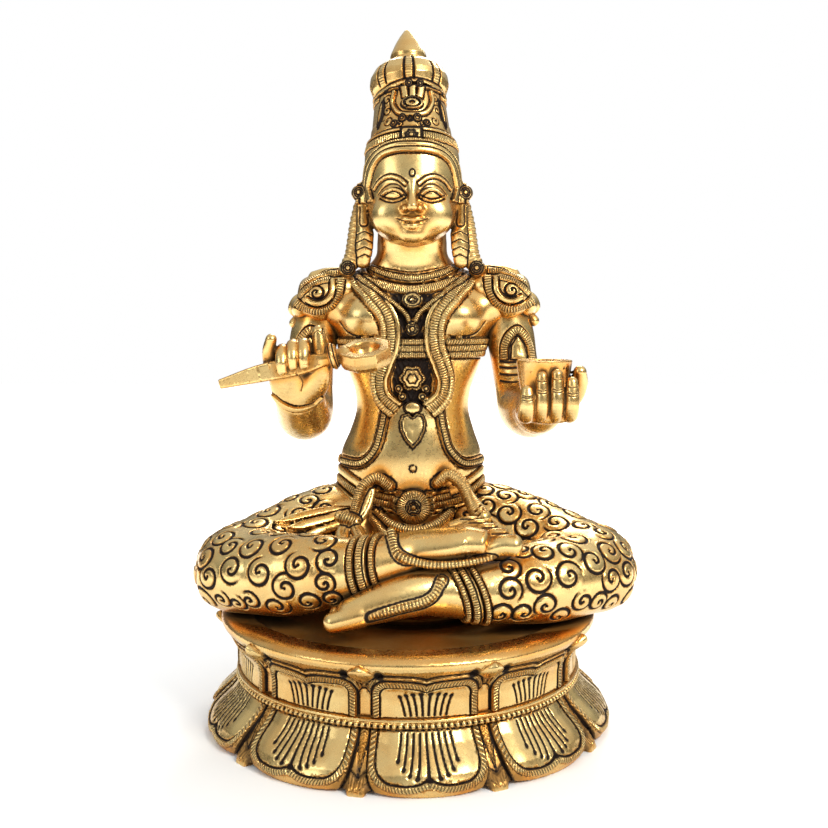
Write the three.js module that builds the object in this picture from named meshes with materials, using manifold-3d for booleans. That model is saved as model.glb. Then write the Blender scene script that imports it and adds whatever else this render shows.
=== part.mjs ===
// A seated goddess figure with a ladle and a food bowl, on a round lotus pedestal, cast in brass.
// Millimetres, +Z up, the front towards -Y, the origin at the middle of the pedestal's underside.
import * as THREE from "three";
import { mergeVertices } from "three/addons/utils/BufferGeometryUtils.js";
import Module from "manifold-3d";

// Driving dimensions of the whole work
const PEDESTAL_HEIGHT = 68;
const FIGURE_HEIGHT = 341;
const SEAT_GAP = 0.3;

// Lotus pedestal: radii of its foot, its beaded waist and its rim, and its two rows of petals
const FOOT_RADIUS = 122;
const FOOT_THICKNESS = 7;
const WAIST_RADIUS = 100;
const WAIST_HEIGHT = 31;
const BEAD_RADIUS = 2.6;
const RIM_RADIUS = 111;
const RIM_HEIGHT = 12;
const RIM_WIDTH = 12;
const PETALS = 10;
const PETAL_TURN = THREE.MathUtils.degToRad(5.5);
const PETAL_RELIEF = 2.2;
const SCALLOP_DEPTH = 8.5;

// Ladle in the right hand
const LADLE_CUP_RADIUS = 14.2;
const LADLE_CUP_HEIGHT = 10.5;
const LADLE_CUP_WALL = 6;
const LADLE_HOLLOW_DEPTH = 6.5;
const LADLE_CUP_TILT = THREE.MathUtils.degToRad(20);
const LADLE_KNOP_RADIUS = 7.2;
const LADLE_KNOP_LENGTH = 4.8;

// Food bowl in the left hand
const BOWL_RADIUS = 15;
const BOWL_HEIGHT = 24.3;
const BOWL_WALL = 2.4;
const BOWL_FLOOR = 6.3;
const BOWL_BED = 1.2;

// The figure's tables below hold millimetres at this height, and are scaled to FIGURE_HEIGHT from the seat up.
// It sits a little to one side of the pedestal's middle and behind it.
const TABLE_HEIGHT = 341;
const TABLE_SEAT = 66;
const SCALE = FIGURE_HEIGHT / TABLE_HEIGHT;
const SEAT_Z = PEDESTAL_HEIGHT + SEAT_GAP;
const SEAT_OFFSET = { x: 1.2, y: 1 };

const BRASS = { color: 0xc79a3f, roughness: 0.3, metalness: 1 };
const TURN = 2 * Math.PI;
const UP = new THREE.Vector3(0, 0, 1);
const RIGHTWARD = new THREE.Vector3(1, 0, 0);
const FRONTWARD = new THREE.Vector3(0, 1, 0);

const wasm = await Module();
wasm.setup();

const lerp = THREE.MathUtils.lerp;
const at = (x, y, z) =>
  new THREE.Vector3(SEAT_OFFSET.x + x * SCALE, SEAT_OFFSET.y + y * SCALE, SEAT_Z + (z - TABLE_SEAT) * SCALE);
const count = (n, make) => Array.from({ length: n }, (_, i) => make(i));

// Joining and cutting

function solidOf(geometry) {
  const bare = new THREE.BufferGeometry().setAttribute("position", geometry.getAttribute("position"));
  if (geometry.index) bare.setIndex(geometry.index);
  const merged = mergeVertices(bare, 1e-4);
  return new wasm.Manifold(
    new wasm.Mesh({
      numProp: 3,
      vertProperties: merged.attributes.position.array,
      triVerts: new Uint32Array(merged.index.array),
    }),
  );
}

function geometryOf(solid) {
  const mesh = solid.getMesh();
  const geometry = new THREE.BufferGeometry();
  geometry.setAttribute("position", new THREE.BufferAttribute(mesh.vertProperties, 3));
  geometry.setIndex(new THREE.BufferAttribute(mesh.triVerts, 1));
  geometry.computeVertexNormals();
  return geometry;
}

const joined = (solids) => solids.reduce((sum, next) => sum.add(next));

// A closed skin over equal rings of points, shut by a fan at each end, or joined end to end when it loops
function skin(rings, loops = false, tips = null) {
  const sides = rings[0].length;
  const middle = (ring) => ring.reduce((sum, p) => sum.add(p), new THREE.Vector3()).divideScalar(sides);
  const points = rings.flat();
  const faces = [];
  const spans = loops ? rings.length : rings.length - 1;
  for (let i = 0; i < spans; i++) {
    const a = i * sides;
    const b = ((i + 1) % rings.length) * sides;
    for (let j = 0; j < sides; j++) {
      const k = (j + 1) % sides;
      faces.push(a + j, a + k, b + k, a + j, b + k, b + j);
    }
  }
  if (!loops) {
    const last = spans * sides;
    points.push(...(tips ?? [middle(rings[0]), middle(rings.at(-1))]));
    for (let j = 0; j < sides; j++) {
      const k = (j + 1) % sides;
      faces.push(points.length - 2, k, j, points.length - 1, last + j, last + k);
    }
  }
  const geometry = new THREE.BufferGeometry().setFromPoints(points).setIndex(faces);
  const solid = solidOf(geometry);
  if (solid.volume() > 0) return solid;
  for (let i = 0; i < faces.length; i += 3) [faces[i + 1], faces[i + 2]] = [faces[i + 2], faces[i + 1]];
  return solidOf(geometry.setIndex(faces));
}

// A limb through nodes [x, y, z, half width, half depth], its width across "side", its ends rounded or flat
function limb(nodes, { sides = 8, steps = 1, side = RIGHTWARD, start = "round", end = "round" } = {}) {
  const path = new THREE.CatmullRomCurve3(nodes.map(([x, y, z]) => at(x, y, z)), false, "centripetal");
  const spans = nodes.length - 1;
  const ringAt = (t, shrink = 1, push = 0) => {
    const from = Math.min(Math.floor(t * spans), spans - 1);
    const share = t * spans - from;
    const sizes = [nodes[from], nodes[from + 1]].map(([, , , wide, deep]) => [wide, deep ?? wide]);
    const [wide, deep] = [0, 1].map((k) => lerp(sizes[0][k], sizes[1][k], share) * SCALE);
    const forward = path.getTangent(t);
    const across = side.clone().addScaledVector(forward, -side.dot(forward)).normalize();
    const out = new THREE.Vector3().crossVectors(forward, across);
    const centre = path.getPoint(t).addScaledVector(forward, push * Math.min(wide, deep));
    return count(sides, (j) => {
      const turn = ((j + 0.5) / sides) * TURN;
      return centre
        .clone()
        .addScaledVector(across, shrink * wide * Math.cos(turn))
        .addScaledVector(out, shrink * deep * Math.sin(turn));
    });
  };
  const [SHOULDER_SHRINK, SHOULDER_PUSH] = [0.74, 0.6];
  const rings = count(spans * steps + 1, (i) => ringAt(i / (spans * steps)));
  if (start === "round") rings.unshift(ringAt(0, SHOULDER_SHRINK, -SHOULDER_PUSH));
  if (end === "round") rings.push(ringAt(1, SHOULDER_SHRINK, SHOULDER_PUSH));
  const tip = (t, sign, shape) => {
    const size = Math.min(...(t ? nodes.at(-1) : nodes[0]).slice(3)) * SCALE;
    return path.getPoint(t).addScaledVector(path.getTangent(t), shape === "round" ? sign * size * 0.95 : 0);
  };
  return skin(rings, false, [tip(0, -1, start), tip(1, 1, end)]);
}

function ball([x, y, z], [rx, ry, rz], across = 8, up = 5) {
  const place = at(x, y, z);
  const geometry = new THREE.SphereGeometry(1, across, up);
  geometry.rotateX(Math.PI / 2).scale(rx * SCALE, ry * SCALE, rz * SCALE);
  return solidOf(geometry.translate(place.x, place.y, place.z));
}

// A round piece about an axis from "from" along "along", with a profile of [height, radius]
function turned(profile, from, along, segments = 12) {
  const points = profile.map(([height, radius]) => new THREE.Vector2(radius, height));
  const geometry = new THREE.LatheGeometry(points, segments);
  const spin = new THREE.Quaternion().setFromUnitVectors(new THREE.Vector3(0, 1, 0), along.clone().normalize());
  return solidOf(geometry.applyQuaternion(spin).translate(from.x, from.y, from.z));
}

// A boss with a raised eye, set on a place { spot, outward } of a surface
const boss = ({ spot, outward }, radius, height, segments = 8) =>
  turned(
    [[-2, 0], [-2, radius], [height * 0.6, radius * 0.9], [height * 0.6, radius * 0.5], [height, 0]],
    spot,
    outward,
    segments,
  );

// Upright forms, as sections [z, centre x, centre y, half width, front depth, back depth]
const TORSO_BARE = [
  [66, 0, 26, 56, 38, 41],
  [90, 0, 26, 61, 38, 46],
  [114, 0, 24, 53, 35, 42],
  [143, 0.5, 20, 44, 30.5, 30],
  [154, 0.7, 20, 43, 30.5, 28],
  [166, 1.2, 20, 38, 28.5, 25],
  [180, 1.5, 20, 34, 25.5, 22.5],
  [190, 1.6, 20, 35.5, 25.5, 22.5],
  [230, 1.5, 20, 47.5, 27, 28],
  [246, 1.5, 21.5, 52, 24, 26],
  [256, 1.5, 22, 48, 20.5, 22],
  [266, 1.3, 21, 27, 17.8, 17.6],
  [271, 1.2, 19, 19.4, 17.2, 16.5],
  [290, 1.2, 13, 18.2, 17, 16],
];
const HEAD = [
  [277.5, 1.2, 1, 6, 9, 8],
  [281, 1.2, 2, 13.5, 17, 16],
  [287, 1.3, 3.4, 20, 21.2, 22.5],
  [297, 1.4, 5.6, 24.2, 23.6, 26.8],
  [308, 1.4, 7.3, 25.8, 25, 28.4],
  [320, 1.3, 9.6, 26.2, 25.4, 28],
  [334, 1.2, 12.6, 25, 24, 25.5],
];

function sectionAt(table, z) {
  const above = Math.max(1, table.findIndex((row) => row[0] >= z));
  const share = (z - table[above - 1][0]) / (table[above][0] - table[above - 1][0]);
  return table[above].map((value, i) => lerp(table[above - 1][i], value, share));
}

// The raised bands that run right round the torso, as [z, half height, relief]
const BELT = { z: 127, half: 7.5, rise: 3.2 };
const CHEST_BAND = { z: 206, half: 7.5, rise: 1.8 };
const COLLAR = { z: 266, half: 3, rise: 2.4 };

// The torso's sections, with two rows for each edge of a band
const TORSO = [...TORSO_BARE];
for (const { z, half, rise } of [BELT, CHEST_BAND, COLLAR]) {
  const EDGE = 1;
  for (const [height, lift] of [[z - half, 0], [z - half + EDGE, rise], [z + half - EDGE, rise], [z + half, 0]]) {
    const [, cx, cy, ...radii] = sectionAt(TORSO_BARE, height);
    TORSO.push([height, cx, cy, ...radii.map((radius) => radius + lift)]);
  }
}
TORSO.sort((one, other) => one[0] - other[0]);

// The place on an upright form at a turn from its front and a height, and the way out there
function onForm(table, turn, z) {
  const [, cx, cy, wide, front, back] = sectionAt(table, z);
  const deep = Math.cos(turn) > 0 ? front : back;
  const outward = new THREE.Vector3(Math.sin(turn) / wide, -Math.cos(turn) / deep, 0).normalize();
  return { spot: at(cx + wide * Math.sin(turn), cy - deep * Math.cos(turn), z), outward };
}

// The place on an upright form that shows at a given x, seen from the front
function atFront(table, x, z) {
  const [, cx, , wide] = sectionAt(table, z);
  return onForm(table, Math.asin(THREE.MathUtils.clamp((x - cx) / wide, -0.98, 0.98)), z);
}

const upright = (table, sides) =>
  skin(table.map(([z]) => count(sides, (j) => onForm(table, (j / sides) * TURN, z).spot)));

// A raised band along places { spot, outward }, sunk into what it lies on, with one or more strands side by side
function band(places, halfWidth, height, { strands = 1, loops = false, sunk = 2 } = {}) {
  const edge = 1 - 0.5 / (strands + 1);
  const profile = [[-1, -sunk], [-edge, height]];
  for (let i = 1; i < strands; i++) profile.push([(2 * i) / strands - 1, height * 0.35]);
  for (let i = 1; i < strands - 1; i++) profile.splice(1 + 2 * i, 0, [(2 * i + 1) / strands - 1, height]);
  profile.push([edge, height], [1, -sunk]);
  const last = places.length - 1;
  const rings = places.map(({ spot, outward }, i) => {
    const before = places[loops ? (i + last) % (last + 1) : Math.max(i - 1, 0)].spot;
    const after = places[loops ? (i + 1) % (last + 1) : Math.min(i + 1, last)].spot;
    const across = new THREE.Vector3().crossVectors(after.clone().sub(before), outward).normalize();
    return profile.map(([side, up]) =>
      spot
        .clone()
        .addScaledVector(across, side * halfWidth * SCALE)
        .addScaledVector(outward, up * SCALE),
    );
  });
  return skin(rings, loops);
}

// Places on a form along a smooth line of [x, z] points, as seen from the front
function traced(form, points, steps) {
  const line = new THREE.CatmullRomCurve3(points.map(([x, z]) => new THREE.Vector3(x, 0, z)), false, "centripetal");
  return line.getPoints(steps).map((p) => atFront(form, p.x, p.z));
}

// Head, face, ears and hair

const FACE_MIDDLE = 1.4;

function face() {
  const parts = [
    upright(HEAD, 14),
    limb([[FACE_MIDDLE, -15, 312, 2.2, 3], [FACE_MIDDLE, -21, 297.8, 4, 3.2]], { sides: 6, start: "flat" }),
    limb([[-3.6, -15.6, 289.4, 1.6], [FACE_MIDDLE, -18.2, 289, 2.8], [6.4, -15.6, 289.4, 1.6]], { sides: 5, side: UP }),
  ];
  for (const side of [-1, 1]) {
    parts.push(ball([FACE_MIDDLE + side * 11.3, -12.6, 306.5], [6.2, 4.4, 3.2], 6, 4));
    const brow = [[4, 311.8], [12, 315], [20, 310]].map(([x, z]) => [FACE_MIDDLE + side * x, z]);
    parts.push(band(traced(HEAD, brow, 2), 1.2, 1.3));
  }
  return parts;
}

function headband() {
  const STEPS = 6;
  const SQUARENESS = 0.75;
  const arch = count(STEPS + 1, (i) => {
    const angle = (i / STEPS - 0.5) * Math.PI;
    const across = Math.sign(angle) * Math.abs(Math.sin(angle)) ** SQUARENESS;
    return atFront(HEAD, FACE_MIDDLE + 28 * across, 304 + 27 * Math.cos(angle) ** SQUARENESS);
  });
  return [band(arch, 3, 3)];
}

function ear(side) {
  const x = (value) => 1.3 + side * value;
  const small = { sides: 5 };
  return [
    limb([[x(27), 11, 306, 4.5, 5], [x(26.6), 9.5, 284, 5.8, 5]], small),
    ball([x(31.6), 11, 308.4], [4.6, 4.4, 4.6], 6, 4),
    limb([[x(28.6), 8.5, 284, 4.4], [x(30.4), 8.5, 270, 5, 4]], small),
    limb([[x(31.5), 13, 302, 3.4], [x(33.4), 13, 286, 4.6], [x(36.4), 11, 273, 4.6], [x(42.6), 11, 263, 5]], small),
  ];
}

// Crown, its profile as [height along its leaning axis, radius]

const CROWN_FOOT = [1.2, 12, 326];
const CROWN_TIP = [-1.6, 28.5, 407];
const CROWN_PROFILE = [
  [0, 26], [4, 28.4], [12, 27.6], [14, 25.6], [19, 25.6], [21, 24], [39, 20.8], [43, 23.4], [50, 23.8], [56, 21.4],
  [61, 16.6], [64, 12], [68, 11.8], [76, 6.8],
];
const CROWN_SIDES = 18;
const BULB = { low: 40, high: 63, flutes: 6, depth: 1 };

function crown() {
  const foot = at(...CROWN_FOOT);
  const tip = at(...CROWN_TIP);
  const along = tip.clone().sub(foot).normalize();
  const spin = new THREE.Quaternion().setFromUnitVectors(UP, along);
  const onCrown = (turn, height) => {
    const above = Math.max(1, CROWN_PROFILE.findIndex(([h]) => h >= height));
    const [low, high] = [CROWN_PROFILE[above - 1], CROWN_PROFILE[above]];
    let radius = lerp(low[1], high[1], (height - low[0]) / (high[0] - low[0]));
    if (height > BULB.low && height < BULB.high) radius += BULB.depth * Math.cos(BULB.flutes * turn);
    const outward = new THREE.Vector3(Math.sin(turn), -Math.cos(turn), 0);
    const spot = outward.clone().multiplyScalar(radius).setZ(height);
    return {
      spot: spot.multiplyScalar(SCALE).applyQuaternion(spin).add(foot),
      outward: outward.applyQuaternion(spin),
    };
  };
  const rings = CROWN_PROFILE.map(([h]) => count(CROWN_SIDES, (j) => onCrown((j / CROWN_SIDES) * TURN, h).spot));
  const parts = [skin(rings, false, [foot, tip]), boss(onCrown(0, 30), 8, 3, 7), boss(onCrown(0, 15), 6, 3.4, 6)];
  for (const side of [-1, 1]) {
    const scroll = [[0.5, 22.5], [0.78, 29], [0.5, 36.5]];
    parts.push(band(scroll.map(([turn, h]) => onCrown(side * turn, h)), 2.6, 2));
  }
  return parts;
}

// Torso, its sash, chains, collar and breast bands

const SASH = [
  [31, 259], [24, 247.5], [16, 237.5], [12.8, 227], [13.2, 218], [16.6, 208], [19.2, 198], [17.4, 188.5], [9.5, 180.5],
];
const HIP_CHAIN = [[16, 181], [18.4, 168], [22.6, 156], [30, 149], [42.5, 148.5]];

function torso() {
  const parts = [upright(TORSO, 16)];
  for (const side of [-1, 1]) {
    const shifted = (points) => points.map(([x, z]) => [1.4 + side * x, z]);
    parts.push(ball([1.5 + side * 28, 6, 230], [16, 16.5, 15], 8, 6));
    parts.push(band(traced(TORSO_BARE, shifted(SASH), 5), 6.6, 3.4, { strands: 2 }));
    parts.push(band(traced(TORSO_BARE, shifted(HIP_CHAIN), 3), 2.8, 2.4));
  }
  parts.push(band(traced(TORSO_BARE, [[-36, 259], [-20, 253.5], [1.3, 250.5], [22.6, 253.5], [38.6, 259]], 4), 4, 2.2));
  parts.push(boss(atFront(TORSO_BARE, 1.2, 246.5), 7, 5, 6));
  parts.push(boss(atFront(TORSO_BARE, 1.4, 201), 6.4, 5.5, 6));
  parts.push(ball([1.6, -6.5, 182], [5.2, 4, 4.2], 6, 4));
  return parts;
}

function heartPendant() {
  const outline = new THREE.Shape(
    [[0, -12], [7.4, -3], [7, 4], [3.6, 5.5], [0, 2.8], [-3.6, 5.5], [-7, 4], [-7.4, -3]].map(
      ([x, z]) => new THREE.Vector2(x * SCALE, z * SCALE),
    ),
  );
  const place = at(1.6, -2, 170.5);
  const geometry = new THREE.ExtrudeGeometry(outline, { depth: 10 * SCALE, bevelEnabled: false });
  return solidOf(geometry.rotateX(Math.PI / 2).translate(place.x, place.y, place.z));
}

// The belt's buckle, the swag below it and the two ends of its ribbon
function beltKnot() {
  const swag = [[-20, -12, 120, 3], [-10, -21, 114, 3.2], [2, -24, 111.5, 3.4], [14, -21, 114, 3.2], [24, -12, 120, 3]];
  const parts = [boss(atFront(TORSO_BARE, 2.1, 126), 10, 8, 9), limb(swag, { sides: 5 })];
  const rightEnd = [[-13, -9, 136], [-21, -12, 142], [-30, -16, 133], [-42, -25, 123]];
  const leftEnd = [[17, -9, 136], [25, -12, 143.5], [33, -17, 133], [44, -26, 121]];
  const WIDTHS = [3, 4, 4.4, 6.4];
  for (const end of [rightEnd, leftEnd]) {
    parts.push(limb(end.map(([x, y, z], i) => [x, y, z, WIDTHS[i], 3.4]), { sides: 5, side: UP, start: "flat", end: "flat" }));
  }
  return parts;
}

// Arms, hands and what they hold

// The upper arms are thicker for a moment at their arm rings
const RIGHT_ARM = [
  [-53, 22, 243, 14], [-59, 22, 228, 14], [-60.4, 20, 215, 13.6], [-60.7, 19.6, 213, 15.4], [-61.2, 18.4, 207, 15.2],
  [-61, 17.6, 205, 13.4], [-60.6, 4, 180, 15.6], [-60.6, -16, 180, 15], [-61, -38, 190, 12],
];
const LEFT_ARM = [
  [56, 22, 243, 14], [61.5, 22, 228, 14], [63.4, 20, 215, 13.6], [63.7, 19.6, 213, 15.4], [64.4, 18.4, 207, 15.2],
  [64.6, 17.6, 205, 13.6], [68, 5, 181, 15.4], [70, -15, 180.5, 14.4], [72, -36, 181.5, 11.6],
];
const FINGER = { sides: 5, start: "flat" };

function arms() {
  return [RIGHT_ARM, LEFT_ARM].map((nodes) => limb(nodes, { sides: 8, start: "flat", end: "flat" }));
}

// Shoulder armour with its horns
function armour(side) {
  const x = (value) => 1.5 + side * value + (side > 0 ? 2 : 0);
  const z = (value) => value + (side > 0 ? 1.5 : 0);
  return [
    limb(
      [[x(40), 18, z(250), 15, 11], [x(51), 18, z(246), 18, 14], [x(60), 18.5, z(240.5), 16, 11.4]],
      { side: FRONTWARD, start: "flat" },
    ),
    limb([[x(66), 18, z(245), 4.8], [x(71), 19.6, z(239), 4], [x(68), 19, z(230), 4]], { sides: 5 }),
    limb([[x(36), 13, z(262), 3], [x(54), 14.5, z(259), 4]], { sides: 5 }),
  ];
}

function rightHand() {
  const curled = (x, z) =>
    limb([[x - 1, -51, z + 2, 3.8], [x, -62, z + 9, 3.6], [x + 0.4, -68, z - 1, 3]], FINGER);
  return [
    limb([[-62, -37, 190, 12.6, 10.6], [-64.5, -47, 199, 12.6, 8.5], [-65.5, -53, 213, 11, 5.4]], { start: "flat" }),
    limb([[-57, -46, 193, 7.5, 7], [-49, -55, 203, 6.2], [-47, -59, 214, 5], [-48.4, -60, 227, 3.3]], FINGER),
    curled(-56, 212),
    curled(-62, 211),
    curled(-67.6, 208),
    limb([[-71.5, -50, 203, 4.2], [-75, -58, 214, 4], [-73.4, -62, 223, 3.2]], FINGER),
  ];
}

function ladle() {
  const KNOP = [-40.6, -61.5, 214.6];
  const CUP_TOP = [-23.8, -62, 219.4];
  const SQUARE = 4;
  const STEM_START = [-46, -61, 213];
  const bar = [[-102, -52, 199.2, 4], [-73, -60, 206.8, 7.2], [-57, -61, 210, 7], [-44, -61, 213.4, 4.6]];
  const half = LADLE_KNOP_LENGTH / 2;
  const knopStart = at(...KNOP);
  const along = at(...CUP_TOP).sub(knopStart).setY(0);
  const up = new THREE.Vector3(-0.12, -Math.sin(LADLE_CUP_TILT), Math.cos(LADLE_CUP_TILT)).normalize();
  // The stem ends inside the cup's wall
  const inWall = (LADLE_CUP_RADIUS - LADLE_CUP_WALL * 0.6) / SCALE;
  const stemEnd = [CUP_TOP[0] - inWall, CUP_TOP[1], CUP_TOP[2] - LADLE_CUP_HEIGHT / 2.4 / SCALE];
  const hollow = LADLE_CUP_RADIUS - LADLE_CUP_WALL;
  const floor = LADLE_CUP_HEIGHT - LADLE_HOLLOW_DEPTH;
  const profile = [
    [0, 0], [0, LADLE_CUP_RADIUS * 0.84], [LADLE_CUP_HEIGHT * 0.5, LADLE_CUP_RADIUS], [LADLE_CUP_HEIGHT, LADLE_CUP_RADIUS],
    [LADLE_CUP_HEIGHT, hollow], [floor, hollow * 0.7], [floor, 0],
  ];
  return [
    limb(bar, { sides: SQUARE, side: new THREE.Vector3(0, 0, 1) }),
    limb([[...STEM_START, 4.4], [...stemEnd, 4.8]], { sides: 6, start: "flat", end: "flat", side: UP }),
    turned(
      [[-half, 0], [-half, LADLE_KNOP_RADIUS * 0.82], [0, LADLE_KNOP_RADIUS], [half, LADLE_KNOP_RADIUS * 0.82], [half, 0]],
      knopStart,
      along,
      8,
    ),
    turned(profile, at(...CUP_TOP).addScaledVector(up, -LADLE_CUP_HEIGHT), up, 12),
  ];
}

// The left palm lies level under the bowl
const LEFT_PALM = { z: 184.5, halfThick: 5 };

function leftHand() {
  const raised = (x, tip, radius) =>
    limb([[x, -68, 184, radius, 4], [x, -76.5, 186.5, radius, 3.9], [x, -75.8, tip - 2.6, radius * 0.84, 3]], FINGER);
  return [
    limb([[72, -35, 182.5, 11.8, 11.4], [72.5, -49, LEFT_PALM.z, 13.5, 6.5], [73, -69, LEFT_PALM.z, 14.5, LEFT_PALM.halfThick]], {
      start: "flat",
    }),
    raised(61.4, 199.5, 4.2),
    raised(68.8, 207, 3.6),
    raised(76.4, 208, 3.7),
    raised(84, 204, 3.8),
    limb([[83, -50, 187, 5.5], [89.5, -58, 195, 4.4], [89.8, -66, 206.5, 3.4]], FINGER),
  ];
}

function foodBowl() {
  const foot = at(72, -59, LEFT_PALM.z + LEFT_PALM.halfThick).addScaledVector(UP, -BOWL_BED);
  const inner = BOWL_RADIUS - BOWL_WALL;
  const profile = [
    [0, 0], [0, BOWL_RADIUS * 0.6], [BOWL_HEIGHT * 0.4, BOWL_RADIUS * 0.84], [BOWL_HEIGHT, BOWL_RADIUS],
    [BOWL_HEIGHT, inner], [BOWL_HEIGHT * 0.45, inner * 0.84], [BOWL_FLOOR, inner * 0.5], [BOWL_FLOOR, 0],
  ];
  return turned(profile, foot, UP, 14);
}

// Crossed legs and feet: each shin's radius rises in three ridges where its anklet is

const RIGHT_THIGH = [[-34, 22, 100.4, 34], [-68, 7, 94.4, 28.2, 30], [-102.8, -15, 91.6, 24.2, 29.5]];
const LEFT_THIGH = [[36, 22, 100.4, 34], [72, 7, 95.4, 29, 30], [108.8, -15, 91.6, 24.4, 29.5]];
const RIGHT_SHIN = [[-98, -31, 89.5, 23, 26], [-66, -51, 93.5, 23], [-33, -66, 100, 17.4]];
const LEFT_SHIN = [[104, -31, 89.5, 23, 26], [73, -52, 89.5, 23], [43, -65, 88.5, 17.4]];
const RIGHT_ANKLE = [-8, -68, 106];
const LEFT_ANKLE = [17, -71, 88];
const ANKLET_RIDGES = 3;
const ANKLET_PITCH = 5;

// The shin's nodes and, over the stretch next to the foot, its ridged anklet
function shinWithAnklet(shin, ankle) {
  const [x, y, z, thick] = shin.at(-1);
  const [endX, endY, endZ] = ankle;
  const rows = ANKLET_RIDGES * 2;
  const length = Math.abs(endX - x);
  const ridges = count(rows, (i) => {
    const share = ((i + 0.6) * ANKLET_PITCH) / 2 / length;
    const rise = i % 2 === 0 ? 1.8 : -0.2;
    return [lerp(x, endX, share), lerp(y, endY, share), lerp(z, endZ, share), thick - 1.2 - share * 3 + rise];
  });
  return [...shin, ...ridges, [...ankle, 12]];
}

// The cloth that closes the lap between the thighs, the shins and the belt
const LAP = { middle: [1, -22, 82], radii: [46, 40, 26] };

function legs() {
  const thigh = { sides: 10, steps: 1, side: UP, start: "flat" };
  const shin = { sides: 10, steps: 1, side: UP, end: "flat" };
  return [
    ball(LAP.middle, LAP.radii, 12, 8),
    limb(RIGHT_THIGH, thigh),
    limb(LEFT_THIGH, thigh),
    limb(shinWithAnklet(RIGHT_SHIN, RIGHT_ANKLE), shin),
    limb(shinWithAnklet(LEFT_SHIN, LEFT_ANKLE), shin),
  ];
}

function feet() {
  const TOES = 5;
  const LOWER_TOES = 2;
  const upper = [[-8, -62, 108, 9.5, 11], [16, -66, 113, 9, 12.5], [51, -62, 115, 7.4, 11]];
  const lower = [[20, -72, 91, 10, 11], [-10, -79, 87.5, 9.6, 10.5], [-33, -82.5, 80.5, 7, 8.5]];
  const parts = [limb(upper, { side: UP }), limb(lower, { side: UP, start: "flat" })];
  for (let i = 0; i < TOES; i++) {
    const share = i / (TOES - 1);
    const radius = lerp(4, 2.7, share);
    const y = lerp(-72, -54, share);
    const z = lerp(110.5, 119.5, share);
    parts.push(limb([[50, y, z, radius], [lerp(61, 56.5, share), y - 0.5, z + 0.6, radius]], FINGER));
  }
  for (let i = 0; i < LOWER_TOES; i++) {
    const y = lerp(-87, -76, i / (LOWER_TOES - 1));
    parts.push(limb([[-32, y, 79.4 + i, 4], [-43 + i * 2, y, 76 + i * 1.6, 3.6]], FINGER));
  }
  return parts;
}

// The two ribbed cords laid over the feet
function footCords() {
  const upper = [[-10, -66, 121, 2.4], [-6, -78, 111, 2.4], [8, -80, 106, 2.4], [30, -79, 105.5, 2.4], [49, -73, 109, 2.4]];
  const lower = [[-26, -88, 80.5, 2.4], [-4, -88.5, 85.5, 2.4], [11, -85, 90, 2.4], [17, -81, 98, 2.4]];
  return [upper, lower].map((cord) => limb(cord, { sides: 5 }));
}

function figure() {
  const parts = [
    ...face(), ...headband(), ...ear(-1), ...ear(1), ...crown(),
    ...torso(), heartPendant(), ...beltKnot(),
    ...arms(), ...armour(-1), ...armour(1), ...rightHand(), ...ladle(), ...leftHand(), foodBowl(),
    ...legs(), ...feet(), ...footCords(),
  ];
  const BIG = 400;
  const below = new THREE.BoxGeometry(BIG, BIG, BIG).translate(0, 0, SEAT_Z - BIG / 2);
  return joined(parts).subtract(solidOf(below));
}

// Lotus pedestal

// The half width of a petal as a share of its half pitch, from its root at 0 to its round tip at 1
const PETAL_SHOULDER = 0.55;
const petalWidth = (v) => {
  const bend = Math.max(0, v - PETAL_SHOULDER) / (1 - PETAL_SHOULDER);
  return 0.92 - 0.45 * (1 - Math.sqrt(1 - bend * bend));
};

// The columns of one petal: its panel, its raised border, the groove beside it and the leaf in between
function petalColumns(v) {
  const edge = petalWidth(v);
  const half = [[0.5 * edge, 0.6], [0.88 * edge, 1], [edge + 0.03, 0]];
  const left = half.map(([u, rise]) => [-u, rise]).reverse();
  return [...left, ...half, [1, 0.75]];
}

function pedestal() {
  const upperFoot = WAIST_HEIGHT + BEAD_RADIUS * 1.2;
  const upperTop = PEDESTAL_HEIGHT - RIM_HEIGHT;
  const lowerTop = WAIST_HEIGHT - BEAD_RADIUS * 1.2;
  const plain = (z, radius) => ({ z, radius, v: 0.5, relief: 0, scallop: 0 });
  const petal = (z, radius, v, scallop = 0) => ({ z, radius, v, relief: PETAL_RELIEF, scallop });
  const rows = [
    petal(0, FOOT_RADIUS - 0.5, 0.98, 1),
    petal(FOOT_THICKNESS, FOOT_RADIUS - 1, 0.9, 0.9),
    petal(lerp(FOOT_THICKNESS, lowerTop, 0.45), lerp(FOOT_RADIUS, WAIST_RADIUS, 0.5), 0.6, 0.15),
    plain(lowerTop, WAIST_RADIUS),
    plain(WAIST_HEIGHT, WAIST_RADIUS + BEAD_RADIUS * 1.3),
    plain(upperFoot, WAIST_RADIUS),
    petal(lerp(upperFoot, upperTop, 0.5), WAIST_RADIUS, 0.6),
    petal(lerp(upperFoot, upperTop, 0.9), WAIST_RADIUS + 1, 0.95),
    plain(upperTop, WAIST_RADIUS + 3.5),
    plain(upperTop + RIM_HEIGHT * 0.45, RIM_RADIUS),
    plain(PEDESTAL_HEIGHT - RIM_HEIGHT * 0.15, RIM_RADIUS - RIM_WIDTH * 0.2),
    plain(PEDESTAL_HEIGHT, RIM_RADIUS - RIM_WIDTH),
  ];
  const rings = rows.map(({ z, radius, v, relief, scallop }) =>
    count(PETALS, (i) =>
      petalColumns(v).map(([u, rise]) => {
        const turn = PETAL_TURN + ((i + u / 2) / PETALS) * TURN;
        const reach = radius + relief * rise - scallop * SCALLOP_DEPTH * THREE.MathUtils.smoothstep(Math.abs(u), 0.35, 0.95);
        return new THREE.Vector3(reach * Math.sin(turn), -reach * Math.cos(turn), z);
      }),
    ).flat(),
  );
  return skin(rings);
}

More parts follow.
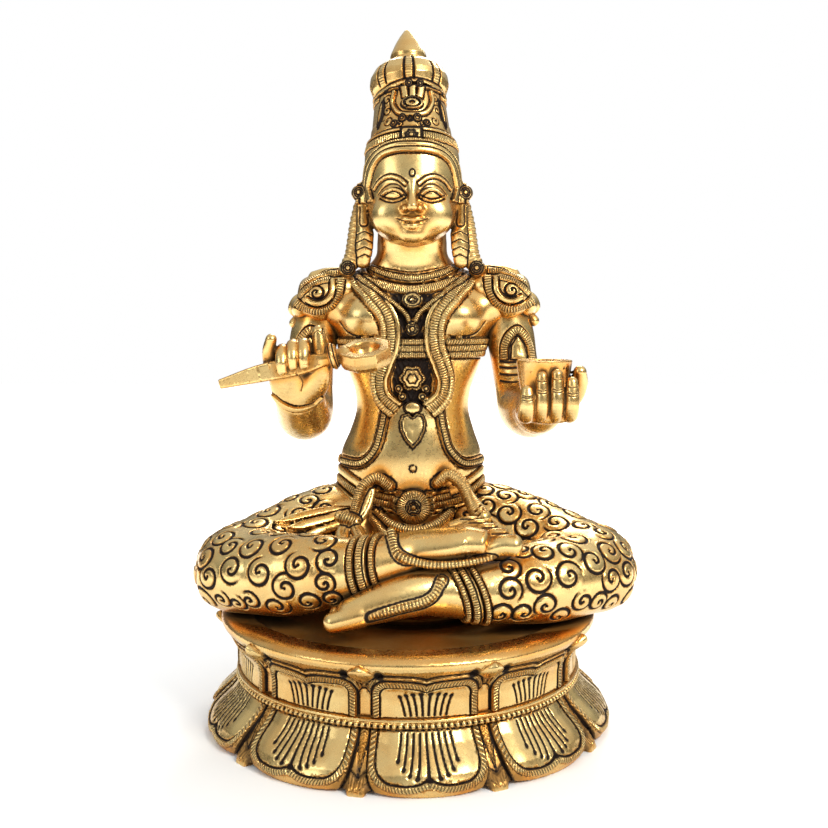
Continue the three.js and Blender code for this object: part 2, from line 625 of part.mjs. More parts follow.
const group = new THREE.Group();
const addNode = (name, solid) => {
  const mesh = new THREE.Mesh(geometryOf(solid), new THREE.MeshStandardMaterial(BRASS));
  mesh.name = name;
  group.add(mesh);
};
addNode("goddess_figure", figure());
addNode("lotus_pedestal", pedestal());

export default group;
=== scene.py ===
"""Looks of a polished brass goddess seated on a double lotus pedestal.

Each piece is a smooth field of distances with its carving raised on it or cut into it, and its mesh is
fine where it is carved. The figure's tables hold the same millimetres as the CAD source, and the meshes
are moved to the row frame at the end.
"""
import math
from concurrent.futures import ThreadPoolExecutor

import bpy
import numpy as np
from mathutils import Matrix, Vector


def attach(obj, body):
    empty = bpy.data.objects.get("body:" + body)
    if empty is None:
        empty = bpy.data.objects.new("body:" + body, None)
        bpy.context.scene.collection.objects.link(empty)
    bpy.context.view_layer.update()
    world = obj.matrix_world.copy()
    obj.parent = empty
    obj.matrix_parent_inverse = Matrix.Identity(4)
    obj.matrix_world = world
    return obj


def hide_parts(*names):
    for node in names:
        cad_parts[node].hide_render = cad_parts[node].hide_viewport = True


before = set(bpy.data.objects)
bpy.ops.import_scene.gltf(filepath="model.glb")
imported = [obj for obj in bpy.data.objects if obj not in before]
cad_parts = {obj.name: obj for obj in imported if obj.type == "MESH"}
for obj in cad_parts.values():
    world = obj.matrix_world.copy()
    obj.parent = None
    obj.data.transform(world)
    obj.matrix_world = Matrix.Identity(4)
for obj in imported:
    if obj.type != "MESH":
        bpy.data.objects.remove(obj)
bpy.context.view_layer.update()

# Where the figure's tables stand in the row frame, in millimetres
SEAT_SHIFT = np.array([1.2, 1.0, 2.3])
MM = 0.001
FAR = 60.0
TURN = 2 * math.pi

# Mesh sizes in millimetres: the first net, the shortest edge that is split and the error that is left
NET_STEP = 1.6
SHORTEST_EDGE = 0.5
SURFACE_ERROR = 0.035
DETAIL_EDGE = 0.9
# A quick try has this many times fewer triangles
FEWER = 1
# How many millimetres of error a fully blurred patina line counts for
PATINA_WEIGHT = 0.35
# How much coarser the mesh is at the figure's back
PLAINER_BACK = 1.0


# Small helpers

def smoothstep(value, low, high):
    share = np.clip((value - low) / (high - low), 0, 1)
    return share * share * (3 - 2 * share)


def smooth_min(a, b, blend):
    if blend <= 0:
        return np.minimum(a, b)
    share = np.clip(0.5 + 0.5 * (b - a) / blend, 0, 1)
    return b + (a - b) * share - blend * share * (1 - share)


def groove(distance, width):
    """How deep a cut of this width is at a distance from its middle, from 0 to 1."""
    return np.clip(1 - (distance / width) ** 2, 0, 1) ** 1.5


def unit(vector):
    vector = np.asarray(vector, float)
    return vector / np.maximum(np.linalg.norm(vector, axis=-1, keepdims=True), 1e-9)


def round_distance(offsets, radii):
    """Nearly the distance from an ellipse or ellipsoid, for offsets along its own axes."""
    near = sum((o / r) ** 2 for o, r in zip(offsets, radii))
    steep = sum((o / (r * r)) ** 2 for o, r in zip(offsets, radii))
    near = np.sqrt(near)
    return near * (near - 1) / np.sqrt(np.maximum(steep, 1e-8))


def smooth_line(points, steps):
    """Points along a smooth line through the given rows, every column treated alike."""
    points = np.asarray(points, float)
    if len(points) == 2:
        share = np.linspace(0, 1, steps + 1)[:, None]
        return points[0] + (points[1] - points[0]) * share
    chord = np.linalg.norm(np.diff(points[:, :3], axis=0), axis=1)
    place = np.concatenate([[0], np.cumsum(np.maximum(chord, 1e-6))])
    slope = np.gradient(points, place, axis=0)
    out = []
    for i in range(len(points) - 1):
        length = place[i + 1] - place[i]
        share = np.linspace(0, 1, steps, endpoint=False)[:, None]
        square = share * share
        cube = square * share
        out.append(
            points[i] * (2 * cube - 3 * square + 1)
            + slope[i] * length * (cube - 2 * square + share)
            + points[i + 1] * (3 * square - 2 * cube)
            + slope[i + 1] * length * (cube - square)
        )
    return np.concatenate(out + [points[-1:]])


class Line:
    """A line of points, asked for the nearest place on it."""

    def __init__(self, points):
        self.points = np.asarray(points, float)
        self.start = self.points[:-1]
        along = np.diff(self.points, axis=0)
        self.length = np.maximum(np.linalg.norm(along, axis=1), 1e-6)
        self.forward = along / self.length[:, None]
        self.before = np.concatenate([[0], np.cumsum(self.length)])
        self.total = self.before[-1]

    def nearest(self, p):
        """The segment, the share of it, and the run from the line's start."""
        straight = p @ self.forward.T - np.sum(self.start * self.forward, axis=1)
        reach = np.clip(straight, 0, self.length)
        apart = np.sum(p * p, axis=1)[:, None] - 2 * (p @ self.start.T) + np.sum(self.start**2, axis=1)
        apart = apart - 2 * reach * straight + reach * reach
        which = np.argmin(apart, axis=1)
        run = reach[np.arange(len(p)), which]
        return which, run / self.length[which], self.before[which] + run


# Forms: each has a box and gives a distance for points, negative inside

class Form:
    blend = 3.0

    def near(self, p, margin):
        low, high = self.box
        inside = np.all((p > low - margin) & (p < high + margin), axis=1)
        return np.nonzero(inside)[0]

    def blended(self, blend):
        self.blend = blend
        return self


class Ball(Form):
    def __init__(self, centre, radii):
        self.centre = np.array(centre, float)
        self.radii = np.array(radii, float)
        self.box = (self.centre - self.radii, self.centre + self.radii)

    def distance(self, p):
        return round_distance((p - self.centre).T, self.radii)


class Limb(Form):
    """A rounded limb through [x, y, z, half width, half depth], its width across side."""

    def __init__(self, nodes, side=(1, 0, 0), steps=6, tip=1.0):
        rows = [list(n) + [n[3]] if len(n) == 4 else list(n) for n in nodes]
        self.rows = smooth_line(rows, steps)
        self.line = Line(self.rows[:, :3])
        self.radii = self.rows[:, 3:5]
        self.tip = tip
        forward = self.line.forward
        side = np.asarray(side, float)
        self.across = unit(side - (forward @ side)[:, None] * forward)
        self.out = np.cross(forward, self.across)
        reach = self.radii.max(axis=1)[:, None] + 0.5
        self.box = ((self.rows[:, :3] - reach).min(0), (self.rows[:, :3] + reach).max(0))

    def place(self, p):
        """Half the limb's width and depth beside each point, and its offsets across, out and along."""
        which, share, _ = self.line.nearest(p)
        size = self.radii[which] * (1 - share)[:, None] + self.radii[which + 1] * share[:, None]
        middle = self.rows[which, :3] * (1 - share)[:, None] + self.rows[which + 1, :3] * share[:, None]
        rel = p - middle
        across = np.sum(rel * self.across[which], axis=1)
        out = np.sum(rel * self.out[which], axis=1)
        beyond = np.sum(rel * self.line.forward[which], axis=1)
        return size[:, 0], size[:, 1], across, out, beyond

    def distance(self, p):
        wide, deep, across, out, beyond = self.place(p)
        return round_distance((across, out, beyond), (wide, deep, np.minimum(wide, deep) * self.tip))


class Upright(Form):
    """A body of sections [z, centre x, centre y, half width, front depth, back depth]."""

    def __init__(self, table):
        rows = np.asarray(table, float)
        dense = smooth_line(rows, 8)
        self.table = dense[np.argsort(dense[:, 0])]
        self.low, self.high = rows[0, 0], rows[-1, 0]
        wide = self.table[:, 3].max()
        deep = self.table[:, 4:6].max()
        middle = self.table[:, 1:3]
        self.box = (
            np.array([middle[:, 0].min() - wide, middle[:, 1].min() - deep, self.low]),
            np.array([middle[:, 0].max() + wide, middle[:, 1].max() + deep, self.high]),
        )

    def section(self, z):
        return [np.interp(z, self.table[:, 0], self.table[:, i]) for i in range(1, 6)]

    def distance(self, p):
        cx, cy, wide, front, back = self.section(p[:, 2])
        x, y = p[:, 0] - cx, p[:, 1] - cy
        deep = np.where(y < 0, front, back)
        beside = round_distance((x, y), (wide, deep))
        return -smooth_min(-beside, -np.maximum(p[:, 2] - self.high, self.low - p[:, 2]), 3.0)


class Turned(Form):
    """A body about an axis with a profile [height, radius], round or with a number of flat sides."""

    def __init__(self, foot, tip, profile, sides=0):
        self.sides = sides
        self.foot = np.array(foot, float)
        self.axis = unit(np.array(tip, float) - self.foot)
        self.profile = np.asarray(profile, float)
        self.across = unit(np.cross([0, 1, 0], self.axis))
        if abs(self.axis[1]) > 0.9:
            self.across = unit(np.cross(self.axis, [0, 0, 1]))
        self.front = np.cross(self.axis, self.across)
        low, high = self.profile[0, 0], self.profile[-1, 0]
        ends = np.array([self.foot + self.axis * low, self.foot + self.axis * high])
        reach = self.profile[:, 1].max()
        self.box = (ends.min(0) - reach, ends.max(0) + reach)

    def local(self, p):
        """Height along the axis, distance from it, and the turn from the front."""
        rel = p - self.foot
        height = rel @ self.axis
        x, y = rel @ self.across, rel @ self.front
        return height, np.sqrt(x * x + y * y), np.arctan2(x, y)

    def distance(self, p):
        height, radius, turn = self.local(p)
        if self.sides:
            step = TURN / self.sides
            radius = radius * np.cos(turn - np.round(turn / step) * step)
        reach = np.interp(height, self.profile[:, 0], self.profile[:, 1])
        ends = np.maximum(self.profile[0, 0] - height, height - self.profile[-1, 0])
        return -smooth_min(-(radius - reach) * 0.85, -ends, 0.9)


class Joined(Form):
    """Forms melted together, each by its own blend, and then cuts taken out."""

    def __init__(self, parts, cuts=()):
        self.parts = parts
        self.cuts = list(cuts)
        self.box = (
            np.min([part.box[0] for part in parts], axis=0),
            np.max([part.box[1] for part in parts], axis=0),
        )

    def distance(self, p, margin=14.0):
        total = np.full(len(p), FAR)
        for part in self.parts:
            near = part.near(p, margin)
            if len(near):
                total[near] = smooth_min(total[near], part.distance(p[near]), part.blend)
        for cut in self.cuts:
            near = cut.near(p, margin)
            if len(near):
                total[near] = -smooth_min(-total[near], cut.distance(p[near]), cut.blend)
        return total


# Laying lines and marks on a form

# Where the rays cast at a form start, in front of the figure and behind it
FRONT = -120
BEHIND = 120
FAR_BEHIND = 140


def slope_of(field, p, reach=0.12):
    """The field's mean value and its slope at points, from four tries around each."""
    total = np.zeros(len(p))
    slope = np.zeros((len(p), 3))
    for corner in ((1, -1, -1), (-1, -1, 1), (-1, 1, -1), (1, 1, 1)):
        value = field(p + np.array(corner) * reach)
        total += value / 4
        slope += value[:, None] * np.array(corner) / (4 * reach)
    return total, slope


def cast(form, starts, direction):
    """Where rays from the starts meet the form, and the way out there."""
    direction = unit(np.asarray(direction, float))
    spots = np.array(starts, float)
    for _ in range(70):
        gap = form.distance(spots)
        spots += direction * (np.clip(gap, -5, 12) * 0.8)[:, None]
    _, slope = slope_of(form.distance, spots, 0.5)
    return spots, unit(slope)


def from_front(form, points, steps=8):
    """A smooth line of (x, z) points seen from the front, laid on the form."""
    flat = smooth_line([[x, 0, z] for x, z in points], steps)
    return cast(form, flat + [0, FRONT, 0], (0, 1, 0))


# Carving: each item answers with a Mark for the points near it

class Mark:
    """What a carving does at points: its height, patina (in a few places painted shade), fineness, cover and
    ticks.
    """

    def __init__(self, rise, dark=0.0, fine=False, cover=0.0, phase=0.0, ticks=0.0):
        shape = np.shape(rise)
        self.rise = rise
        self.dark, self.cover, self.phase, self.ticks = (
            np.broadcast_to(np.asarray(value, float), shape) for value in (dark, cover, phase, ticks)
        )
        self.fine = np.broadcast_to(fine, shape)


class Carving:
    reach = 5.0

    def near(self, p):
        low, high = self.box
        return np.nonzero(np.all((p > low - self.reach) & (p < high + self.reach), axis=1))[0]


class Boxed(Carving):
    """A carving that is worked out everywhere in a given box."""

    def __init__(self, box):
        self.box = box


# How far the ticks rise and fall
TICK_RISE = 0.11


class Relief:
    """A body form with its carvings, each laid over the ones before it."""

    def __init__(self, form, carvings=()):
        self.form = form
        self.carvings = list(carvings)
        self.box = form.box

    def carved(self, p):
        total = {name: np.zeros(len(p)) for name in ("rise", "dark", "phase", "ticks")}
        fine = np.zeros(len(p), bool)
        for item in self.carvings:
            near = item.near(p)
            if not len(near):
                continue
            mark = item.at(p[near])
            bare = 1 - mark.cover
            total["rise"][near] = total["rise"][near] * bare + mark.rise
            total["dark"][near] = np.maximum(total["dark"][near] * bare, mark.dark)
            old = total["ticks"][near] * bare
            stronger = mark.ticks > old
            total["phase"][near] = np.where(stronger | (old <= 0), mark.phase, total["phase"][near])
            total["ticks"][near] = np.maximum(mark.ticks, old)
            fine[near] |= mark.fine
        total["rise"] += TICK_RISE * total["ticks"] * np.sin(TURN * total["phase"])
        return total, fine

    def distance(self, p):
        return self.form.distance(p) - self.carved(p)[0]["rise"]


def rings_profile(radius, rings):
    """Height and patina of a boss made of rings [outer radius, height], highest inside."""
    height = np.zeros_like(radius)
    dark = np.zeros_like(radius)
    for outer, rise in rings:
        inside = smoothstep(outer - radius, 0, 0.55)
        height = height * (1 - inside) + rise * inside
        dark = np.maximum(dark * (1 - inside), 0.9 * groove(radius - outer - 0.15, 0.7))
    return height, dark


# Lanes across a strip, as [start, end, how strongly ticked], in shares of its half width
PLAIN = ((-1, 1, 0),)
TICKED = ((-1, 1, 1),)
THREE_TICKED = ((-1, -0.34, 1), (-0.34, 0.34, 1), (0.34, 1, 1))


def strip_mark(side, half, lanes, rise, phase, far, cut, within=1.0):
    """The Mark of a raised strip, for a distance across it from its middle and a distance outside it."""
    share = side / half
    height = np.zeros_like(side)
    ticks = np.zeros_like(side)
    gap = np.zeros_like(side)
    for start, end, ticked in lanes:
        lane_half = (end - start) / 2
        off = (share - (start + end) / 2) / lane_half
        inside = np.abs(off) <= 1
        crown = 0.62 + 0.38 * np.sqrt(np.clip(1 - (0.95 * off) ** 2, 0, 1))
        height = np.where(inside, crown, height)
        ticks = np.where(inside, ticked * smoothstep((1 - np.abs(off)) * lane_half * half, 0.1, 0.5), ticks)
        if end < 1:
            gap = np.maximum(gap, groove((share - end) * half, 0.55))
    edge = smoothstep(half - np.abs(side), 0, 0.6) * within
    rim = groove(far - 0.35, 0.75) * (far > 0) * (1 - edge)
    up = (rise * height - 0.5 * gap) * edge - cut * rim
    return Mark(up, 0.95 * np.maximum(gap * edge, rim), far < 0.8, edge, phase, ticks * edge)


class Ribbon(Carving):
    """A raised strip along a line of spots, with the way out at each spot."""

    def __init__(self, line, half, rise, lanes=TICKED, pitch=1.25, hand=1, cut=0.4, deep=8.0,
                 narrow=(1, 1)):
        spots, outward = line
        self.line = Line(spots)
        self.narrow = narrow
        self.outward = unit(outward)
        self.half, self.rise, self.lanes, self.hand = half, rise, lanes, hand
        self.pitch, self.cut, self.deep = pitch, cut, deep
        self.box = (np.min(spots, axis=0) - half, np.max(spots, axis=0) + half)

    def at(self, p):
        which, share, run = self.line.nearest(p)
        share = share[:, None]
        points = self.line.points
        middle = points[which] * (1 - share) + points[which + 1] * share
        outward = unit(self.outward[which] * (1 - share) + self.outward[which + 1] * share)
        forward = self.line.forward[which]
        across = unit(np.cross(forward, outward)) * self.hand
        rel = p - middle
        side = np.sum(rel * across, axis=1)
        along = run / self.line.total
        side = side / np.interp(along, (0, 0.3, 0.75, 1), (self.narrow[0], 1, 1, self.narrow[1]))
        beyond = np.abs(np.sum(rel * forward, axis=1)) * ((run <= 0) | (run >= self.line.total - 1e-6))
        off = np.abs(np.sum(rel * outward, axis=1)) > self.deep
        far = np.hypot(np.maximum(np.abs(side) - self.half, 0), beyond)
        far = np.where(off, 9, far)
        within = (1 - smoothstep(beyond, 0.1, 0.7)) * ~off
        return strip_mark(side, self.half, self.lanes, self.rise, run / self.pitch, far, self.cut, within)


class Hoop(Carving):
    """A raised strip round an axis, between two heights, with its ticks counted from the front."""

    def __init__(self, foot, tip, low, high, radius, rise, lanes=TICKED, pitch=1.25, start=0.0, cut=0.4):
        self.foot = np.array(foot, float)
        self.axis = unit(np.array(tip, float) - self.foot)
        self.front = unit(np.array([0, -1, 0]) + self.axis[1] * self.axis)
        self.right = np.cross(self.axis, self.front)
        self.middle, self.half = (low + high) / 2, (high - low) / 2
        self.radius, self.rise, self.lanes = radius, rise, lanes
        self.pitch, self.start, self.cut = pitch, start, cut
        middle = self.foot + self.axis * self.middle
        reach = radius * np.array([1.2, 1.2, 0.3]) + self.half
        self.box = (middle - reach, middle + reach)

    def at(self, p):
        rel = p - self.foot
        side = rel @ self.axis - self.middle
        turn = np.abs(np.arctan2(rel @ self.right, rel @ self.front))
        away = np.maximum(self.start - turn, 0) * self.radius
        far = np.hypot(np.maximum(np.abs(side) - self.half, 0), away)
        within = 1 - smoothstep(away, 0.1, 0.7)
        phase = turn * self.radius / self.pitch
        return strip_mark(side, self.half, self.lanes, self.rise, phase, far, self.cut, within)


class Roped(Carving):
    """Ticks across a limb, wherever the surface is the limb's own."""

    def __init__(self, limb, pitch=1.5, strength=1.0, rise=0.0):
        self.limb, self.pitch, self.strength, self.rise = limb, pitch, strength, rise
        self.box = limb.box

    def at(self, p):
        out = self.limb.distance(p)
        _, _, run = self.limb.line.nearest(p)
        own = 1 - smoothstep(out, 0.25, 0.9)
        rim = groove(out - 1.3, 0.9)
        wave = 0.5 - 0.5 * np.cos(TURN * run / self.pitch)
        return Mark(self.rise * wave * own, 0.9 * rim, out < 1.5, own, run / self.pitch,
                    own * self.strength)


def outline_distance(x, y, corners):
    """The distance from a closed outline, negative inside, and the run along it."""
    corners = np.asarray(corners, float)
    along = np.roll(corners, -1, axis=0) - corners
    length = np.hypot(along[:, 0], along[:, 1])
    rel_x = x[:, None] - corners[:, 0]
    rel_y = y[:, None] - corners[:, 1]
    share = np.clip((rel_x * along[:, 0] + rel_y * along[:, 1]) / length**2, 0, 1)
    gap = np.hypot(rel_x - share * along[:, 0], rel_y - share * along[:, 1])
    which = np.argmin(gap, axis=1)
    rows = np.arange(len(x))
    rises = (corners[:, 1] <= y[:, None]) != (np.roll(corners[:, 1], -1) <= y[:, None])
    slope = np.where(np.abs(along[:, 1]) > 1e-9, along[:, 1], 1)
    crossed = rises & (rel_x < along[:, 0] * rel_y / slope)
    inside = crossed.sum(axis=1) % 2 == 1
    before = np.concatenate([[0], np.cumsum(length)[:-1]])
    run = before[which] + share[rows, which] * length[which]
    return np.where(inside, -1, 1) * gap[rows, which], run


class Boss(Carving):
    """A boss of rings [outer size, height], round, oval or with an outline, lobed or ticked on its edge."""

    def __init__(self, place, rings, stretch=1.0, upward=(0, 0, 1), lobes=0, ticked=0, outline=None,
                 deep=9.0, dome=0.0):
        centre, outward = place
        self.centre = np.ravel(centre).astype(float)
        self.outward = unit(np.ravel(outward))
        self.right = unit(np.cross(upward, self.outward))
        self.up = np.cross(self.outward, self.right)
        self.rings, self.stretch, self.lobes, self.ticked, self.deep = rings, stretch, lobes, ticked, deep
        self.outline, self.dome = outline, dome
        reach = rings[0][0] * max(1, 1 / stretch) + 2
        if outline is not None:
            reach = np.abs(np.asarray(outline)).max() * 1.5 + 2
        self.box = (self.centre - reach, self.centre + reach)

    def at(self, p):
        rel = p - self.centre
        x = rel @ self.right
        y = (rel @ self.up) * self.stretch
        outer = self.rings[0][0]
        if self.outline is None:
            radius = np.hypot(x, y)
            phase = np.abs(np.arctan2(x, y)) / TURN * self.ticked
        else:
            inset, run = outline_distance(x, y, self.outline)
            radius = outer + inset
            phase = run / max(self.ticked, 0.1)
        if self.lobes:
            radius = radius * (1.11 - 0.22 * np.abs(np.sin(self.lobes * np.arctan2(x, y) / 2)))
        radius = np.where(np.abs(rel @ self.outward) > self.deep, 99, radius)
        height, dark = rings_profile(radius, self.rings)
        cover = smoothstep(outer - radius, 0, 0.5)
        height = height + self.dome * np.clip(1 - (radius / outer) ** 2, 0, 1) * cover
        band = cover * smoothstep(radius - self.rings[1][0], 0.1, 0.6) if len(self.rings) > 1 else cover
        return Mark(height, dark, radius < outer + 1, cover, phase, band * (self.ticked > 0))


class Swirls(Carving):
    """Comma spirals cut round small domes, as [centre, way out, radius, start turn, hand]."""

    def __init__(self, marks, depth=1.15, width=1.1, turns=1.4, dome=0.8):
        self.marks = marks
        self.depth, self.width, self.turns, self.dome = depth, width, turns, dome
        centres = np.array([m[0] for m in marks])
        reach = max(m[2] for m in marks) + 1
        self.box = (centres.min(0) - reach, centres.max(0) + reach)

    def at(self, p):
        cut = np.zeros(len(p))
        swell = np.zeros(len(p))
        for centre, outward, radius, start, hand in self.marks:
            rel = p - centre
            near = np.nonzero(np.sum(rel * rel, axis=1) < (radius * 1.3) ** 2)[0]
            if not len(near):
                continue
            right = unit(np.cross([0.02, 0.01, 1], outward))
            up = np.cross(outward, right)
            x = rel[near] @ right * hand
            y = rel[near] @ up
            reach = np.hypot(x, y)
            turn = (np.arctan2(y, x) - start) / TURN
            turn = turn - np.floor(turn)
            size = self.width * (0.7 + 0.3 * min(radius / 6, 1))
            for whole in range(2):
                share = (turn + whole) / self.turns
                arm = radius * (1 - 0.86 * share**1.6)
                taper = smoothstep(share, -0.02, 0.1) * (1 - smoothstep(share, 0.97, 1.04))
                width = size * (0.8 + 0.35 * smoothstep(share, 0, 0.4))
                cut[near] = np.maximum(cut[near], groove(reach - arm, width) * taper * (share <= 1.04))
            cut[near] = np.maximum(cut[near], groove(reach - 0.2, size * 0.9))
            swell[near] = np.maximum(swell[near], self.dome * np.clip(1.1 - (reach / radius) ** 2, 0, 1))
        return Mark(swell - self.depth * cut, cut, cut > 0.02)


class Cuts(Carving):
    """Dark lines cut into a form, each along its own line of spots."""

    def __init__(self, lines, width=0.6, depth=0.6, dark=1.0):
        self.lines = [Line(spots) for spots, _ in lines]
        self.width, self.depth, self.dark = width, depth, dark
        every = np.concatenate([line.points for line in self.lines])
        self.box = (every.min(0) - width, every.max(0) + width)

    def at(self, p):
        cut = np.zeros(len(p))
        for line in self.lines:
            low, high = line.points.min(0) - self.width, line.points.max(0) + self.width
            near = np.nonzero(np.all((p > low) & (p < high), axis=1))[0]
            if not len(near):
                continue
            which, share, _ = line.nearest(p[near])
            middle = line.points[which] * (1 - share)[:, None] + line.points[which + 1] * share[:, None]
            gap = np.linalg.norm(p[near] - middle, axis=1)
            cut[near] = np.maximum(cut[near], groove(gap, self.width))
        return Mark(-self.depth * cut, self.dark * cut, cut > 0)


# Meshing

def grid_values(relief, low, counts, step):
    """The field on a grid, worked out coarsely away from the surface and finely near it."""
    block = 4
    coarse_counts = [-(-n // block) for n in counts]
    axes = [low[i] + (np.arange(coarse_counts[i]) * block + (block - 1) / 2) * step for i in range(3)]
    mesh = np.stack(np.meshgrid(*axes, indexing="ij"), -1).reshape(-1, 3)
    coarse = relief.form.distance(mesh).reshape(coarse_counts)
    close = np.abs(coarse) < block * step * 1.5 + 4
    values = coarse
    for axis in range(3):
        values = np.repeat(values, block, axis)
        close = np.repeat(close, block, axis)
    values = values[: counts[0], : counts[1], : counts[2]].copy()
    close = close[: counts[0], : counts[1], : counts[2]]
    where = np.argwhere(close)
    values[close] = relief.distance(low + where * step)
    return values


def surface_net(values, low, step):
    """Vertices and four-sided faces of the zero surface."""
    corners = [(i, j, k) for i in (0, 1) for j in (0, 1) for k in (0, 1)]
    nx, ny, nz = values.shape
    inside = values < 0
    total = np.zeros((nx - 1, ny - 1, nz - 1), np.int8)
    for i, j, k in corners:
        total += inside[i : nx - 1 + i, j : ny - 1 + j, k : nz - 1 + k]
    active = (total > 0) & (total < 8)
    cells = np.argwhere(active)
    place = np.zeros((len(cells), 3))
    hits = np.zeros(len(cells))
    for one in corners:
        for axis in range(3):
            if one[axis]:
                continue
            other = list(one)
            other[axis] = 1
            a = values[tuple((cells + one).T)]
            b = values[tuple((cells + other).T)]
            crossed = (a < 0) != (b < 0)
            share = np.where(crossed, a / np.where(crossed, a - b, 1), 0)
            spot = np.array(one, float) + share[:, None] * (np.array(other) - one)
            place += np.where(crossed[:, None], spot, 0)
            hits += crossed
    vertices = low + (cells + place / hits[:, None]) * step
    number = np.full(active.shape, -1, np.int64)
    number[active] = np.arange(len(cells))
    faces = []
    for axis in range(3):
        u, v = (axis + 1) % 3, (axis + 2) % 3
        first = [slice(1, n - 1) for n in values.shape]
        first[axis] = slice(0, values.shape[axis] - 1)
        second = list(first)
        second[axis] = slice(1, values.shape[axis])
        here = inside[tuple(first)]
        there = inside[tuple(second)]
        spots = np.argwhere(here != there) + [0 if i == axis else 1 for i in range(3)]
        starts_inside = inside[tuple(spots.T)]
        quad = []
        for du, dv in ((1, 1), (0, 1), (0, 0), (1, 0)):
            cell = spots.copy()
            cell[:, u] -= du
            cell[:, v] -= dv
            quad.append(number[tuple(cell.T)])
        quad = np.stack(quad, 1)
        quad[~starts_inside] = quad[~starts_inside][:, ::-1]
        faces.append(quad)
    return vertices, np.concatenate(faces)


def to_surface(relief, p, rounds=3):
    """Points moved onto the carved surface."""
    p = p.copy()
    for i in range(rounds):
        value, slope = slope_of(relief.distance, p, 0.25 if i == 0 else 0.1)
        size = np.maximum(np.sum(slope * slope, axis=1), 0.2)
        step = -(value / size)[:, None] * slope
        length = np.linalg.norm(step, axis=1, keepdims=True)
        p += step * np.minimum(1, 1.2 / np.maximum(length, 1e-9))
    return p


def edges_of(faces):
    pairs = np.sort(faces[:, [[0, 1], [1, 2], [2, 0]]].reshape(-1, 2), axis=1)
    keys = pairs[:, 0] * (1 << 32) + pairs[:, 1]
    unique, back = np.unique(keys, return_inverse=True)
    return np.stack([unique >> 32, unique & 0xFFFFFFFF], 1), back.reshape(-1, 3)


def split_faces(faces, middle):
    """Faces cut at the new middles of their edges; middle holds -1 where an edge stays whole."""
    cut = middle >= 0
    count = cut.sum(axis=1)
    out = [faces[count == 0]]
    rows = count == 1
    turn = np.argmax(cut[rows], axis=1)
    a, b, c = turned(faces[rows], turn)
    m = middle[rows][np.arange(rows.sum()), turn]
    out += [np.stack([a, m, c], 1), np.stack([m, b, c], 1)]
    rows = count == 2
    turn = (np.argmin(cut[rows], axis=1) + 1) % 3
    a, b, c = turned(faces[rows], turn)
    m, n, _ = turned(middle[rows], turn)
    out += [np.stack([m, b, n], 1), np.stack([a, m, n], 1), np.stack([a, n, c], 1)]
    rows = count == 3
    a, b, c = faces[rows].T
    m, n, o = middle[rows].T
    out += [np.stack(part, 1) for part in ((a, m, o), (m, b, n), (n, c, o), (m, n, o))]
    return np.concatenate(out)


def turned(rows, turn):
    """The three columns of each row, begun at its own column."""
    index = np.arange(len(rows))
    return [rows[index, (turn + i) % 3] for i in range(3)]


def refine(relief, vertices, faces, limit):
    """Edges are split where the carved surface leaves them, until the error or the limit is reached."""
    rounds = 6
    dark = relief.carved(vertices)[0]["dark"]
    for _ in range(rounds):
        edges, of_face = edges_of(faces)
        ends = vertices[edges]
        length = np.linalg.norm(ends[:, 1] - ends[:, 0], axis=1)
        middles = ends.mean(axis=1)
        total, fine = relief.carved(middles)
        plainer = 1 + PLAINER_BACK * smoothstep(middles[:, 1], 10, 60)
        blurred = np.abs(total["dark"] - dark[edges].mean(axis=1))
        error = (np.abs(relief.form.distance(middles) - total["rise"]) + PATINA_WEIGHT * blurred) / plainer
        wanted = (error > SURFACE_ERROR) & (length > SHORTEST_EDGE * plainer)
        wanted |= fine & (length > DETAIL_EDGE * plainer)
        room = (limit - len(faces)) // 3
        if room < 500:
            break
        if wanted.sum() > room:
            score = np.where(wanted, error * np.minimum(length, 2), -1)
            keep = np.argpartition(-score, room)[:room]
            chosen = np.zeros(len(edges), bool)
            chosen[keep] = True
            wanted &= chosen
        if not wanted.any():
            break
        face_length = length[of_face]
        longest = of_face[np.arange(len(faces)), np.argmax(face_length, axis=1)]
        for _ in range(3):
            touched = wanted[of_face].any(axis=1)
            wanted[longest[touched]] = True
        number = np.full(len(edges), -1, np.int64)
        number[wanted] = len(vertices) + np.arange(wanted.sum())
        added = to_surface(relief, middles[wanted], 2)
        vertices = np.concatenate([vertices, added])
        dark = np.concatenate([dark, relief.carved(added)[0]["dark"]])
        faces = split_faces(faces, number[of_face])
    return vertices, faces


def meshed(relief, limit):
    low = relief.box[0] - 4 * NET_STEP
    counts = [int(n) for n in np.ceil((relief.box[1] + 4 * NET_STEP - low) / NET_STEP) + 1]
    values = grid_values(relief, low, counts, NET_STEP)
    vertices, quads = surface_net(values, low, NET_STEP)
    vertices = to_surface(relief, vertices)
    first = np.linalg.norm(vertices[quads[:, 0]] - vertices[quads[:, 2]], axis=1)
    second = np.linalg.norm(vertices[quads[:, 1]] - vertices[quads[:, 3]], axis=1)
    short = first <= second
    faces = np.concatenate([
        quads[short][:, [0, 1, 2]], quads[short][:, [0, 2, 3]],
        quads[~short][:, [1, 2, 3]], quads[~short][:, [1, 3, 0]],
    ])
    return refine(relief, vertices, faces, limit)


# The figure's bodies, in table millimetres

